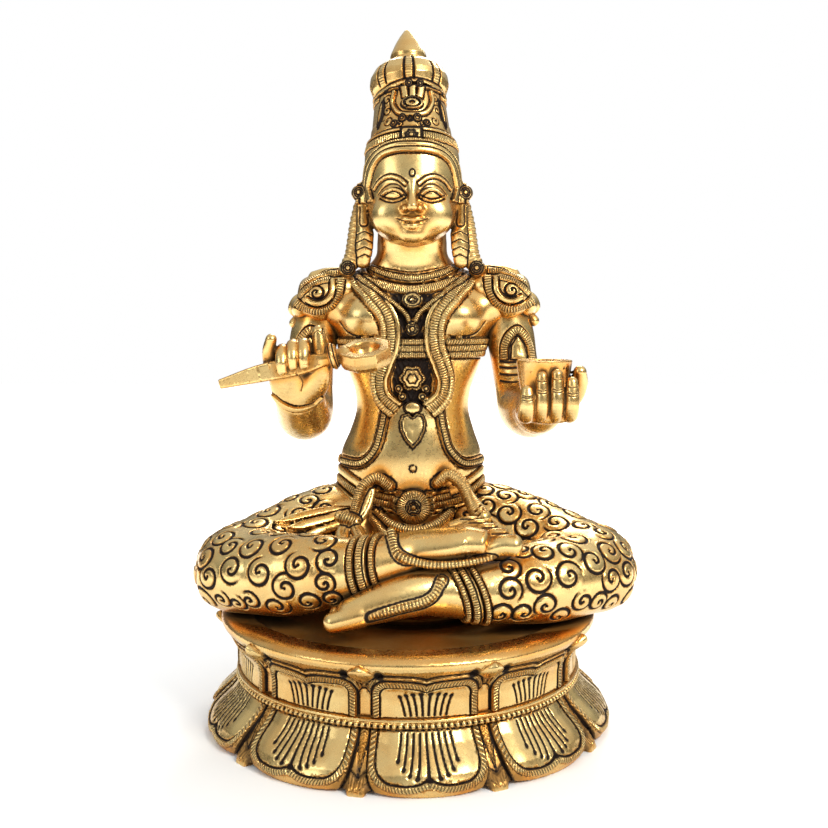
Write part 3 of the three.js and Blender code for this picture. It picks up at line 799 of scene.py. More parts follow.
TORSO = [
    [62, 0, 26, 54, 37, 40], [66, 0, 26, 56, 38, 41], [90, 0, 26, 60, 38, 46], [114, 0, 24, 53, 34, 42],
    [134, 0.4, 21, 45, 31, 33], [143, 0.5, 20, 43.8, 30.5, 30], [154, 0.7, 20, 42.6, 30.2, 28],
    [166, 1.2, 20, 38, 28.5, 25], [180, 1.5, 20, 34.2, 25.5, 22.5], [190, 1.6, 20, 35, 25, 22.5],
    [210, 1.6, 20, 41.5, 25.5, 25], [230, 1.5, 20, 47.5, 26, 28], [246, 1.5, 21.5, 51, 23.5, 26],
    [256, 1.5, 22, 46, 20.5, 22], [264, 1.3, 21.5, 30, 18.4, 18.5], [271, 1.2, 19, 22.4, 17.4, 16.5],
    [280, 1.2, 16, 20.8, 17, 15.6], [294, 1.2, 12, 20.4, 17, 16],
]
HEAD = [
    [276.4, 1.3, 1, 5, 7, 8], [278.4, 1.3, 1.6, 11.6, 13.6, 13], [281.4, 1.3, 2.4, 16.4, 17.6, 17],
    [286, 1.4, 3.4, 21.6, 20.6, 22.5], [292, 1.4, 4.4, 24.6, 22, 25], [300, 1.4, 6, 26.4, 23.2, 27.4],
    [308, 1.4, 7.3, 27, 24.4, 28.4], [320, 1.3, 9.6, 27.8, 25, 28], [330, 1.2, 12, 27.8, 25.2, 26.5],
    [339, 1.2, 13.4, 25.6, 23.6, 24],
]
CROWN_FOOT = (1.2, 12, 326)
CROWN_TIP = (-1.6, 28.5, 407)
CROWN_PROFILE = [
    [-6, 24.4], [0, 25.2], [4, 25.8], [10, 25.2], [11, 24.8], [19, 23.6], [20, 23], [39, 20.8],
    [40.5, 20.6], [43, 22.4], [47, 23.6], [51, 23.2], [56, 20.4], [60.2, 14.6], [61.5, 10.9], [63, 10.4],
    [65.5, 10.9], [67.5, 10.3], [70, 9.1], [74, 7.2], [78, 4.8], [81.6, 2.2], [83.6, 0.2],
]
MIDDLE = 1.4
UPWARD = (0, 0, 1)
LEVEL = np.zeros(3)


def mirrored(points, side, middle=MIDDLE):
    """Front points [distance from the middle, z] put on one side of the figure."""
    return [[middle + side * x, z] for x, z in points]


def on_front(form, x, z):
    """One place on a form, seen from the front, and the way out there."""
    return cast(form, np.array([[x, FRONT, z]]), (0, 1, 0))


def around(form, centre, normal, reach=40, count=48):
    """A closed line round a form, in the plane through a centre."""
    normal = unit(normal)
    first = unit(np.cross(normal, [0.3, 0.2, 1]))
    second = np.cross(normal, first)
    turn = np.linspace(0, TURN, count + 1)[:, None]
    out = first * np.cos(turn) + second * np.sin(turn)
    return cast(form, np.asarray(centre, float) + out * reach, -out)


# Head and crown

EAR_X = 1.3
RIDGE_LANES = ((-1, -0.5, 0.8), (-0.5, 0.2, 0), (0.2, 1, 0))


def crown_form():
    return Turned(CROWN_FOOT, CROWN_TIP, CROWN_PROFILE).blended(1.0)


def face_parts():
    parts = [Ball([MIDDLE, -14.4, 281.6], [6.5, 4.4, 4.6]).blended(7)]
    nose = [[MIDDLE, -15.5, 312, 2.4, 2.4], [MIDDLE, -19.4, 302, 2.3, 2.4], [MIDDLE, -22, 297.4, 3.2, 2.9]]
    parts.append(Limb(nose).blended(2.6))
    for side in (-1, 1):
        parts.append(Ball([MIDDLE + side * 3.9, -18.4, 296.6], [2.4, 2.8, 2.0]).blended(1.6))
        parts.append(Ball([MIDDLE + side * 13.5, -10.4, 293], [8.5, 5.5, 8.5]).blended(8))
        parts.append(Ball([MIDDLE + side * 10.8, -12.4, 305.2], [6.8, 4.8, 3.9]).blended(1.8))
    upper = [[-8, -15.4, 290.4, 0.9], [-3.2, -18.8, 290.7, 1.6], [0, -19.4, 290.2, 1.5],
             [3.2, -18.8, 290.7, 1.6], [8, -15.4, 290.4, 0.9]]
    lower = [[-6.2, -16, 288.4, 1.1], [0, -19, 286.6, 2.2], [6.2, -16, 288.4, 1.1]]
    for lip, blend in ((upper, 1.0), (lower, 0.8)):
        parts.append(Limb([[MIDDLE + x, y, z, size] for x, y, z, size in lip]).blended(blend))
    return parts


def ear_parts(side):
    def placed(rows):
        return [[EAR_X + side * row[0], *row[1:]] for row in rows]

    loop = [[26.8, 9, 311, 3.2, 4.6], [28.2, 9, 304, 4.6, 5.6], [28.4, 8.6, 293, 4.6, 5.2],
            [28, 8.4, 284, 5, 5]]
    pendant = [[28, 8.4, 284, 5.2, 5], [28.8, 8, 276, 5.6, 4.6], [29.4, 8.5, 268, 4.6, 4]]
    lock = [[31, 13, 302, 3.4], [32.6, 13, 290, 4.6], [34, 12, 279, 4.8], [35.4, 11, 271, 4.8],
            [39.4, 11, 262.5, 4.8]]
    return [
        Limb(placed(loop)).blended(1.5),
        Ball([EAR_X + side * 31.4, 10.5, 308.4], [4.7, 4.4, 4.8]).blended(1.0),
        Limb(placed(pendant)).blended(1.0),
        Limb(placed(lock)).blended(1.0),
    ]


def head_form():
    parts = [Upright(HEAD).blended(4)]
    parts += face_parts()
    for side in (-1, 1):
        parts += ear_parts(side)
    parts.append(crown_form())
    return Joined(parts)


def face_marks(form):
    marks = []
    for side in (-1, 1):
        def line(points):
            return from_front(form, mirrored(points, side))

        brow = line([[3.6, 310.2], [8, 313.8], [13.5, 315], [18.6, 312.8], [22.4, 308.4]])
        marks.append(Ribbon(brow, 1.1, 0.8, PLAIN, cut=0.4))
        upper_lid = line([[4.2, 303.4], [7, 306.2], [10.8, 307.5], [14.8, 306.3], [18.4, 303.6]])
        lower_lid = line([[4.4, 303.2], [8, 301.5], [11.4, 301], [14.8, 301.7], [18.2, 303.5]])
        marks.append(Ribbon(upper_lid, 0.95, 0.95, PLAIN, cut=0.45))
        marks.append(Ribbon(lower_lid, 0.65, 0.45, PLAIN, cut=0.35))
        crease = line([[4.8, 306.8], [8.2, 310], [12.2, 310.6], [16.6, 308.6], [19.8, 305]])
        marks.append(Cuts([crease], 0.8, 0.5, 0.8))
        nostril = from_front(form, mirrored([[5.2, 299.2], [6.4, 297.2], [5.6, 295.2]], side), 4)
        marks.append(Cuts([nostril], 0.6, 0.3, 0.6))
    lips = from_front(form, mirrored([[-8.6, 290.9], [-3.4, 289], [0, 288.6], [3.4, 289], [8.6, 290.9]], 1))
    marks.append(Cuts([lips], 0.65, 0.5, 1.0))
    marks.append(Boss(on_front(form, MIDDLE, 316.6), [[1.5, 0.9]], stretch=0.7))
    return marks


def headband_marks(form):
    arch = []
    for i in range(13):
        angle = (i / 12 - 0.5) * math.pi
        across = math.copysign(abs(math.sin(angle)) ** 0.62, angle)
        arch.append([MIDDLE + 27 * across, 302 + 30.4 * math.cos(angle) ** 0.62])
    return [Ribbon(from_front(form, arch, 4), 3.9, 1.8, RIDGE_LANES, pitch=1.2, cut=0.8, narrow=(1.9, 1.9))]


def crown_marks(form):
    """The crown's front, from the flange up to the bulb, and its rings and flutes all round."""
    def ring(low, high, radius, rise, lanes=TICKED, pitch=1.25, start=0.0):
        return Hoop(CROWN_FOOT, CROWN_TIP, low, high, radius, rise, lanes, pitch, start)

    def place(x, z):
        return on_front(form, x, z)

    def line(points, steps=6):
        return from_front(form, points, steps)

    marks = [ring(5.2, 10.2, 27, 0.7, pitch=1.5), ring(10.6, 12.8, 25, 0.9, PLAIN)]
    marks.append(ring(37.4, 39.9, 21.5, 1.1, PLAIN))
    marks.append(ring(33.8, 36.6, 21.8, 0.6, start=1.0))
    marks.append(Swirls(crown_scrolls(form), depth=0.6, width=0.55, turns=1.3, dome=0.3))
    # The leaf at each side and the scrolls that flank the medallion
    for side in (-1, 1):
        leaf = [[0, 9.4], [2.0, 4], [2.3, -2], [0.6, -9.4], [-0.6, -9.4], [-2.3, -2], [-2.0, 4]]
        marks.append(Boss(place(1.0 + side * 17.6, 353), [[2.4, 1.2], [1.6, 0.5]], outline=leaf))
    cup = [[-8.9, 365.1], [-9.9, 357.6], [-6.6, 352.3], [1.4, 350.7], [9.8, 352.8], [12.7, 358.6],
           [11.9, 365.3]]
    marks.append(Ribbon(line(cup), 1.35, 1.3, PLAIN))
    for x in (-3.6, 1.5, 6.6):
        flame = [[x * 0.8 + 0.3, 361.2], [x * 0.9 + 0.2, 364.2], [x, 367.4]]
        marks.append(Ribbon(line(flame, 4), 2.0, 1.2, PLAIN))
    marks.append(Boss(place(1.3, 357.4), [[6.4, 1.9], [4.9, 1.0], [4.0, 1.9], [1.4, 0.4]], stretch=1.6))
    ledge = [[-20, 363.6], [-10.8, 368.4], [-1.9, 370.9], [7.4, 370.9], [18.1, 367.3], [21.4, 363.2]]
    marks.append(Ribbon(line(ledge), 1.1, 1.0, PLAIN))
    for x in (-0.4, 5.6):
        marks.append(Boss(place(x, 370), [[1.9, 1.5], [0.8, 2.0]]))
    for x, z, size in ((-4.4, 348.6, 2.1), (4.4, 348.6, 2.3), (-9.2, 345.8, 2.0), (9.8, 346.2, 2.0),
                       (0.2, 348.2, 1.5)):
        marks.append(Boss(place(x, z), [[size, 1.2], [size * 0.45, 0.3]]))
    plaque = [[-6.2, -6.2], [6.2, -6.2], [6.2, 6.2], [-6.2, 6.2]]
    marks.append(Boss(place(0.9, 336.8), [[6, 2.0], [5.2, 1.5]], outline=plaque, deep=12))
    marks.append(Boss(place(0.9, 337.4), [[3.4, 2.6], [2.4, 2.2], [1.3, 3.0]], deep=12, lobes=8))
    marks.append(Flutes(ring(41, 61, 24, 0.8)))
    return marks


def crown_scrolls(form):
    spots = [(-13.2, 360.6), (-13, 354), (-12.6, 347.8), (14.6, 361.4), (16, 354.8), (14.6, 348),
             (-5.8, 345.4), (6.4, 345.6)]
    marks = []
    for i, (x, z) in enumerate(spots):
        spot, outward = on_front(form, x, z)
        marks.append([spot[0], outward[0], 3.1 if i < 6 else 1.8, i * 1.7, 1 if x < 0 else -1])
    return marks


class Flutes(Carving):
    """The bulb's pairs of dark grooves with a ticked strip between the two of each pair."""

    PAIRS = 8
    APART = 0.125
    WIDTH = 1.05

    def __init__(self, place):
        self.place = place
        self.box = (place.box[0] - 9, place.box[1] + 9)

    def at(self, p):
        rel = p - self.place.foot
        height = rel @ self.place.axis
        across, front = rel @ self.place.right, rel @ self.place.front
        radius = np.hypot(across, front)
        turn = np.abs(np.arctan2(across, front))
        period = TURN / self.PAIRS
        off = turn - np.round(turn / period) * period
        end = smoothstep(height, 41.4, 43) * (1 - smoothstep(height, 58.5, 60.5))
        cut = groove((np.abs(off) - self.APART) * radius, self.WIDTH) * end
        inside = (np.abs(off) < self.APART) * end
        return Mark(-1.1 * cut, cut, cut > 0, 0.0, height / 1.5, 0.35 * inside)


HEAD_RADIUS = 26
HAIR_PITCH = 2.3


class HairLines(Boxed):
    """Combed hair on the head's back and sides, between the ears and below the crown."""

    def at(self, p):
        turn = np.arctan2(p[:, 0] - MIDDLE, p[:, 1] - 6)
        lane = np.abs(turn) * HEAD_RADIUS / HAIR_PITCH
        off = (lane - np.round(lane)) * HAIR_PITCH
        end = smoothstep(p[:, 1], 9, 12) * smoothstep(p[:, 2], 284, 288)
        end = end * (1 - smoothstep(p[:, 2], 322, 326))
        end = end * (np.abs(p[:, 0] - MIDDLE) < 27)
        cut = groove(off, 0.6) * end
        return Mark(-0.5 * cut, 0.7 * cut, cut > 0)


def ear_marks(form):
    marks = []
    for side in (-1, 1):
        def place(x, z):
            return on_front(form, EAR_X + side * x, z)

        marks.append(Roped(ear_parts(side)[3], 3.4, 0.6, 0.7))
        marks.append(Boss(place(31.4, 308.4), [[4.0, 0.5], [2.6, 0.1], [1.4, 0.9]]))
        rim = [[26.6, 304], [30, 303.6], [30.8, 297], [30, 288.6], [26.8, 288.6], [26, 297], [26.6, 304]]
        inner = from_front(form, [[EAR_X + side * x, z] for x, z in rim], 5)
        marks.append(Cuts([inner], 0.9, 0.8))
        lines = []
        for z in (285.5, 281, 276.5, 272):
            chevron = [[EAR_X + side * x, z - 0.4 * abs(x - 28)] for x in (23, 26, 28, 30, 33)]
            lines.append(from_front(form, chevron, 4))
        marks.append(Cuts(lines, 0.6, 0.5))
        marks.append(Boss(place(38.2, 264.4), [[3.8, 0.5], [2.6, -0.1], [1.4, 0.5]]))
    return marks


def head():
    form = head_form()
    hair = HairLines((np.array([-28, 0, 283.0]), np.array([31, 40, 327.0])))
    return Relief(form, [hair, *face_marks(form), *crown_marks(form), *headband_marks(form),
                         *ear_marks(form)])


# Torso: breasts, shoulders, then her jewellery and cloths from the skin outwards

SASH = [
    [35.5, 264], [31, 257], [24, 247.5], [16, 237.5], [12.8, 227], [13.2, 218], [16.6, 208], [19.2, 198],
    [17.4, 188.5], [9.5, 180.5],
]
SASH_HALF = 6.8
SASH_LANES = ((-1, -0.52, 0.0), (-0.52, 0.36, 1), (0.36, 1, 0.6))
NECK_RING = [[-26, 265], [-17, 261], [-8, 258.8], [0, 258], [8, 258.8], [17, 261], [26, 265]]
NECK_LANES = ((-1, -0.56, 0), (-0.56, 0.6, 1), (0.6, 1, 0))
FAN = [[-33, 259.6], [-22, 255.6], [-12, 252.6], [0, 251.4], [12, 252.6], [22, 255.6], [33, 259.6]]
HIP_LOOP = [[16, 181], [18.4, 168], [22.6, 156], [30, 149], [42.5, 148.5]]
HIP_FOLDS = (
    ([[45.6, 143.4], [41, 141.6], [35, 138], [28, 134.6], [22, 132.6]], PLAIN),
    ([[46.4, 137.6], [42, 135.8], [36, 132.2], [30, 129]], TICKED),
    ([[47.6, 131.8], [43, 129.8], [37.4, 126.4], [32, 123.4]], PLAIN),
)
BUCKLE = [2.1, 124.6]
BELT = [[-31, 132], [-22, 129.4], [-10, 127], [2, 126], [14, 126.6], [26, 128.6], [35, 131]]
CHAIN_LANES = ((-1, -0.62, 0), (-0.62, 0.62, 1), (0.62, 1, 0))
BELT_LANES = ((-1, -0.62, 0), (-0.62, 0, 0.9), (0, 0.62, 0.9), (0.62, 1, 0))
RIBBON_ENDS = {
    -1: [[-12, -9.5, 136, 3, 2.6], [-20, -13.4, 141.6, 3.5, 2.6], [-27, -16.5, 137, 3.6, 2.6],
         [-30.6, -20, 128.5, 3.4, 2.8], [-32.4, -25, 121.5, 3.0, 2.6]],
    1: [[16, -9.5, 137.4, 3, 2.6], [23, -13, 143.4, 3.8, 2.8], [29.6, -16.5, 139.6, 4.2, 2.8],
        [34, -20.5, 131.5, 4.6, 3], [37.6, -25.6, 126, 5.2, 4.6], [41.2, -30.6, 121, 5.8, 5.2]],
}
LAP = ([1, -22, 82], [46, 40, 26])
RIBBON_TIP = (41.6, 121)
# The knot at the end of her right ribbon and the plain folds that spread below it
KNOT = [[-40.4, -27.4, 121.6, 3.4, 3.0], [-36, -28.6, 120, 4.0, 3.4], [-31.4, -28.6, 118.2, 3.6, 3.2]]
KNOT_FOLDS = (
    [[-22.6, -16.4, 134.6, 3.0, 2.2], [-25, -20.6, 127, 3.6, 2.4], [-29.6, -26, 119.6, 3.4, 2.4]],
    [[-33, -27, 118.6, 3.0, 2.6], [-29, -35, 113.6, 4.0, 3.0], [-25.6, -45, 110, 3.4, 3.0]],
    [[-36, -26.6, 118.6, 3.0, 2.6], [-38, -34, 112.6, 4.0, 3.0], [-37, -43, 108.6, 3.4, 3.0]],
)
SWAG = [[-20, -12, 121, 2.6], [-10, -20.6, 115, 3.0], [2, -24, 112.5, 3.2], [14, -20.6, 115, 3.0],
        [24, -12, 121, 2.6]]
LOWER_SWAG = [[-22, -13, 117, 2.2], [-14, -26, 110, 2.4], [-8, -44, 106, 2.4]]
HEART = [[0, -11.6], [4.6, -6.6], [7.4, -0.6], [7.9, 4.6], [6.2, 8.8], [2.2, 9.6], [0, 7.4], [-2.2, 9.6],
         [-6.2, 8.8], [-7.9, 4.6], [-7.4, -0.6], [-4.6, -6.6]]


def body_parts():
    parts = [Upright(TORSO).blended(4)]
    for side in (-1, 1):
        parts.append(Ball([1.5 + side * 26, 6.5, 235], [16.5, 15.5, 14]).blended(7))
        parts.append(Ball([1.5 + side * 46, 20, 243], [15, 17, 14]).blended(8))
    return parts


class Recess(Carving):
    """The dark hollow between the two sashes."""

    ROWS = np.array([[180, 1], [184, 6], [190, 10.6], [198, 12], [208, 9.4], [218, 6.4], [227, 5.8],
                     [234, 7.6], [240, 11], [246, 15], [249, 15]])
    FOLDS = 3.1

    def __init__(self):
        self.box = (np.array([-14.0, -30, 180]), np.array([17.0, 4, 250]))

    def at(self, p):
        half = np.interp(p[:, 2], self.ROWS[:, 0], self.ROWS[:, 1])
        inside = smoothstep(half - np.abs(p[:, 0] - MIDDLE), -0.6, 1.0) * (p[:, 1] < 4)
        inside = inside * smoothstep(p[:, 2], 180, 184) * (1 - smoothstep(p[:, 2], 247, 249))
        fold = 0.5 + 0.5 * np.cos(TURN * (np.abs(p[:, 0] - MIDDLE) - 0.5 * p[:, 2]) / self.FOLDS)
        return Mark((0.8 * fold - 1.9) * inside, (1 - 0.55 * fold**3) * inside, inside > 0)


def behind_hips(p):
    return (p[:, 1] > 42) & (p[:, 2] > 72) & (p[:, 2] < 138)


def torso_marks(body, ends, swags):
    def spin(low, high, radius, rise, lanes, pitch, start=0.0):
        return Hoop([MIDDLE, 21, 0], [MIDDLE, 21, 1], low, high, radius, rise, lanes, pitch, start)

    def place(x, z):
        return on_front(body, x, z)

    marks = [
        Recess(),
        spin(211, 222.8, 38, 2.0, THREE_TICKED, 1.5),
        spin(146.2, 151.4, 43, 1.6, TICKED, 1.6, start=1.45),
        Ribbon(from_front(body, BELT, 8), 6.6, 2.2, BELT_LANES, pitch=1.4, cut=0.8),
    ]
    for side in (-1, 1):
        for line, lanes in HIP_FOLDS:
            laid = from_front(body, mirrored(line, side), 6)
            marks.append(Ribbon(laid, 2.5, 1.4, lanes, pitch=1.5, cut=0.8))
        under_breast = [[13, 224.6], [20, 223.6], [30, 223.6], [38, 226], [43, 232]]
        crease = from_front(body, mirrored(under_breast, side), 8)
        marks.append(Cuts([crease], 1.2, 0.9))
        chain = from_front(body, mirrored(HIP_LOOP, side), 8)
        marks.append(Ribbon(chain, 2.9, 1.9, CHAIN_LANES, pitch=1.6, cut=0.6))
    for side in (-1, 1):
        sash = from_front(body, mirrored(SASH, side), 8)
        marks.append(Ribbon(sash, SASH_HALF, 2.7, SASH_LANES, pitch=1.5, hand=-side, cut=0.7,
                            narrow=(0.6, 0.85)))
    # Collar, beaded ring at the neck, thin chains to the rosette, and the pendants down the middle
    for line, half, rise, lanes in ((FAN, 3.0, 1.4, TICKED), (NECK_RING, 3.4, 1.9, NECK_LANES)):
        laid = from_front(body, mirrored(line, 1), 8)
        marks.append(Ribbon(laid, half, rise, lanes, pitch=1.2, narrow=(0.6, 0.6)))
    for side in (-1, 1):
        chain = [[35, 261], [26, 254.6], [17.6, 248], [9.4, 242], [3.4, 236.4], [1.4, 232]]
        laid = from_front(body, mirrored(chain, side), 8)
        marks.append(Ribbon(laid, 1.7, 1.9, TICKED, pitch=1.15, cut=0.7))
    marks.append(Boss(place(1.4, 244.8), [[6.3, 3.0], [4.9, 2.4], [2.8, 3.6], [1.4, 2.8]], stretch=1.25))
    marks.append(Boss(place(1.4, 228.2), [[4.2, 1.6], [2.9, 0.9], [1.5, 1.9]], ticked=12))
    for x, z in ((-6.4, 193.4), (9.2, 193.4), (-4.4, 188.6), (7.2, 188.6)):
        marks.append(Boss(place(x, z), [[2.6, 1.2], [1.2, 1.8]], dome=0.6))
    marks.append(Boss(place(1.4, 199.5), [[7.2, 1.6], [5.2, 3.4], [2.6, 4.6]], lobes=6, ticked=30,
                      dome=0.8))
    marks.append(Boss(place(1.6, 182), [[5.4, 3.0], [4.4, 3.4]], stretch=1.35, dome=1.0))
    marks.append(Boss(place(1.6, 169.4), [[4, 2.2], [2.4, 1.5]], outline=HEART, ticked=1.2, dome=0.6))
    marks.append(Boss(place(1.8, 146.7), [[1.9, 0.5]]))
    spine = [[MIDDLE, BEHIND, z] for z in (258, 235, 210, 185, 162)]
    marks.append(Cuts([cast(body, smooth_line(spine, 6), (0, -1, 0))], 3.4, 1.0, 0.1))
    marks.append(Swirls(spirals(body, behind_hips, [MIDDLE, 66, 122], 5)))
    # Swags and ribbon ends; the belt buckle is made in torso
    for rope in swags:
        marks.append(Roped(rope, 1.45))
    marks.append(Roped(ends[0], 1.35))
    marks.append(Roped(ends[1], 1.35, 0.35))
    return marks


def torso():
    body = Joined(body_parts())
    buckle_spot, _ = on_front(body, *BUCKLE)
    foot = buckle_spot[0] + [0, 3, 0]
    profile = [[0, 10.6], [7.6, 10.5], [8.6, 9.9], [9.4, 9.2]]
    buckle = Turned(foot, foot + [0, -1, 0], profile).blended(0.4)
    ends = [Limb(RIBBON_ENDS[side], side=UPWARD).blended(0.6) for side in (-1, 1)]
    swags = [Limb(SWAG).blended(0.6), Limb(LOWER_SWAG).blended(0.5)]
    folds = [Limb(rows).blended(0.8) for rows in KNOT_FOLDS]
    knot = Limb(KNOT, side=UPWARD).blended(0.5)
    whole = Joined(body_parts() + [Ball(*LAP).blended(6)] + swags + ends + folds + [knot, buckle])
    marks = torso_marks(body, ends, swags)
    marks.append(Roped(knot, 1.35))
    middles = [smooth_line([[x + 0.6, -90, z] for x, _, z, _, _ in rows], 5) for rows in KNOT_FOLDS]
    marks.append(Cuts([cast(whole, middle, (0, 1, 0)) for middle in middles], 0.55, 0.4, 0.8))
    front = (foot + [0, -9.4, 0], [0, -1, 0])
    marks.append(Boss(front, [[10.2, 0.3], [4.4, 0.7], [3.0, 0.2], [1.6, 1.0]], ticked=38))
    knots = []
    for near in (3.4, 5.6):
        spot = on_front(whole, RIBBON_TIP[0] - near * 0.75, RIBBON_TIP[1] + near * 0.75)[0][0]
        knots.append(cast(whole, spot + [[-3.4, -9, -3.4], [0, -9, 0], [3.4, -9, 3.4]], (0, 1, 0)))
    marks.append(Cuts(knots, 0.7, 0.6))
    return Relief(whole, marks)


# Arms, hands, ladle and bowl

RIGHT_ARM = [
    [-48, 21, 245, 12.6], [-53.4, 22, 238, 14], [-57.8, 21.5, 226, 14.6], [-60.4, 19, 210, 13.9],
    [-61, 14, 195, 14], [-61.3, 2, 181.5, 15.6], [-61.3, -13, 180, 16], [-61, -27, 184, 14.6],
    [-61, -38, 190, 12.6],
]
LEFT_ARM = [
    [51, 21, 246, 12.6], [56.4, 22, 239, 14], [60.6, 21.5, 226, 14.6], [63.4, 19, 210, 13.9],
    [65.5, 14, 195, 14], [68, 2, 182.5, 15.6], [70, -13, 181, 15.6], [71, -27, 182, 14], [72, -38, 183, 12],
]


def finger(nodes, blend=1.2):
    return Limb(nodes, steps=5).blended(blend)


class Bar(Limb):
    """A limb with a square section."""

    def distance(self, p):
        wide, deep, across, out, beyond = self.place(p)
        inside = smooth_min(wide - np.abs(across), deep - np.abs(out), 1.2)
        return -smooth_min(inside, 0.4 - np.abs(beyond), 1.0)


KNOP = np.array([-40.6, -61.5, 214.6])
CUP_TOP = np.array([-23.8, -62, 219.4])
CUP_UP = unit([-0.12, -math.sin(math.radians(20)), math.cos(math.radians(20))])


def ladle_parts():
    bar = Bar([[-102, -52, 199.2, 2.8], [-73, -60, 206.8, 5.1], [-57, -61, 210, 5.0],
               [-44, -61, 213.4, 3.4]],
              side=(0, 0, 1), steps=5)
    stem = Limb([[-46, -61, 213, 4.2], [-38, -61.4, 214.4, 4.2], [-34, -61.8, 215, 5.0]], side=(0, 0, 1))
    along = unit((CUP_TOP - KNOP) * [1, 0, 1])
    knop = Turned(KNOP, KNOP + along, [[-2.6, 5.4], [-1.6, 6.6], [0, 7.4], [1.6, 6.6], [2.6, 5.4]])
    base = CUP_TOP - CUP_UP * 10.5
    cup = Turned(base, CUP_TOP, [[0, 10.4], [1.2, 12], [3, 13], [5.6, 13.7], [10, 13.7], [10.6, 13.5]],
                 sides=8)
    hollow = Turned(base, CUP_TOP, [[3.4, 3], [5, 5.4], [7, 6.8], [10, 7.9], [14, 8.8]])
    return [bar.blended(0.4), stem.blended(0.6), knop.blended(0.5), cup.blended(0.8)], [hollow.blended(0.8)]


ARMLET = [[-7.2, -19], [-6.8, -10.6], [-3.4, -4.2], [0.8, -1.4], [5.2, -4.8], [8.4, -10.4], [9.8, -19]]
ARMLET_LEAF = [[-3.4, -19], [-2.8, -11], [1, -5], [4.6, -9.8], [6.4, -16.4], [6, -20]]
ARMLET_BARS = (-20.4, -23.8, -27.8, -31.8)


def armlet_marks(form, side, middle, top):
    """The leaf-shaped armlet on an upper arm, with short dark bars under its inner side."""
    def placed(points):
        return [[middle + side * x, top + z] for x, z in points]

    leaf_middle = on_front(form, middle + side * 1.4, top - 11)
    outline = [[side * (x - 1.4), z + 11] for x, z in ARMLET_LEAF][::side]
    marks = [
        Ribbon(from_front(form, placed(ARMLET), 6), 2.5, 1.3, TICKED, pitch=1.5, cut=0.7),
        Boss(leaf_middle, [[3, 0.8]], outline=outline, dome=0.5),
        Cuts([from_front(form, placed([[1, -6], [1.6, -11], [1.8, -16.4]]), 5)], 0.5, 0.4, 0.7),
    ]
    bars = [from_front(form, placed([[-9.6, z], [-5, z - 0.3], [0, z]]), 4) for z in ARMLET_BARS]
    marks.append(Cuts(bars, 1.1, 0.9))
    return marks


def right_arm():
    parts = [Limb(RIGHT_ARM).blended(3)]
    parts.append(Limb([[-61.4, -36, 189, 12.6, 10.6], [-63.6, -46, 198, 12.8, 8.6],
                       [-65, -51.5, 208, 11.6, 6.4], [-65.5, -53.5, 215, 10, 5]]).blended(4))
    parts.append(finger([[-57, -45, 193, 8], [-50.5, -53, 200, 7.2], [-48, -57.5, 208, 5.8],
                         [-47.6, -59.6, 216, 5], [-48.4, -60, 227.5, 3.4]], 4))
    for x, z, size in ((-56, 212, 3.7), (-61.8, 211.4, 3.7), (-67.4, 209, 3.6)):
        parts.append(finger([[x - 1, -51, z + 1, 4], [x - 0.4, -57, z + 8.4, size], [x, -63, z + 8, size],
                             [x + 0.2, -67.4, z + 2, size * 0.92], [x + 0.4, -67.6, z - 1.6, 2.8]], 0.5))
    little = [[-71.5, -50, 202, 4.4], [-74.6, -56, 211, 4.0], [-74.8, -60, 218, 3.5],
              [-73.4, -62, 223.5, 3.0]]
    parts.append(finger(little, 1.2))
    pieces, cuts = ladle_parts()
    form = Joined(parts + pieces, cuts)
    marks = armlet_marks(parts[0], -1, -58.6, 229)
    upwards = CUP_TOP - KNOP
    knop_rings = [around(form, KNOP + unit(upwards) * x, upwards, 14, 24) for x in (-1.3, 1.3)]
    marks.append(Cuts(knop_rings, 0.6, 0.45))
    bangle = [[-75, 192.6], [-69, 187.4], [-61, 185], [-53, 187], [-47.4, 192]]
    marks.append(Ribbon(from_front(form, bangle, 6), 1.9, 1.3, PLAIN, cut=0.7))
    palm = from_front(form, [[-60, 206], [-57.6, 200], [-58.6, 195.6]], 6)
    marks.append(Cuts([palm], 0.6, 0.4, 0.7))
    nails = [[[-51, 226.4], [-48.4, 228.2], [-46, 226.4]], [[-51.8, 216.6], [-47.4, 215.6], [-43.4, 217]]]
    marks.append(Cuts([from_front(form, line, 4) for line in nails], 0.5, 0.35, 0.7))
    return Relief(form, marks)


BOWL_FOOT = np.array([72, -59, 188.3])
FINGERS = ((61.2, 199.5, 4.3), (68.8, 207, 3.8), (76.6, 208, 3.9), (84.4, 204, 3.9))


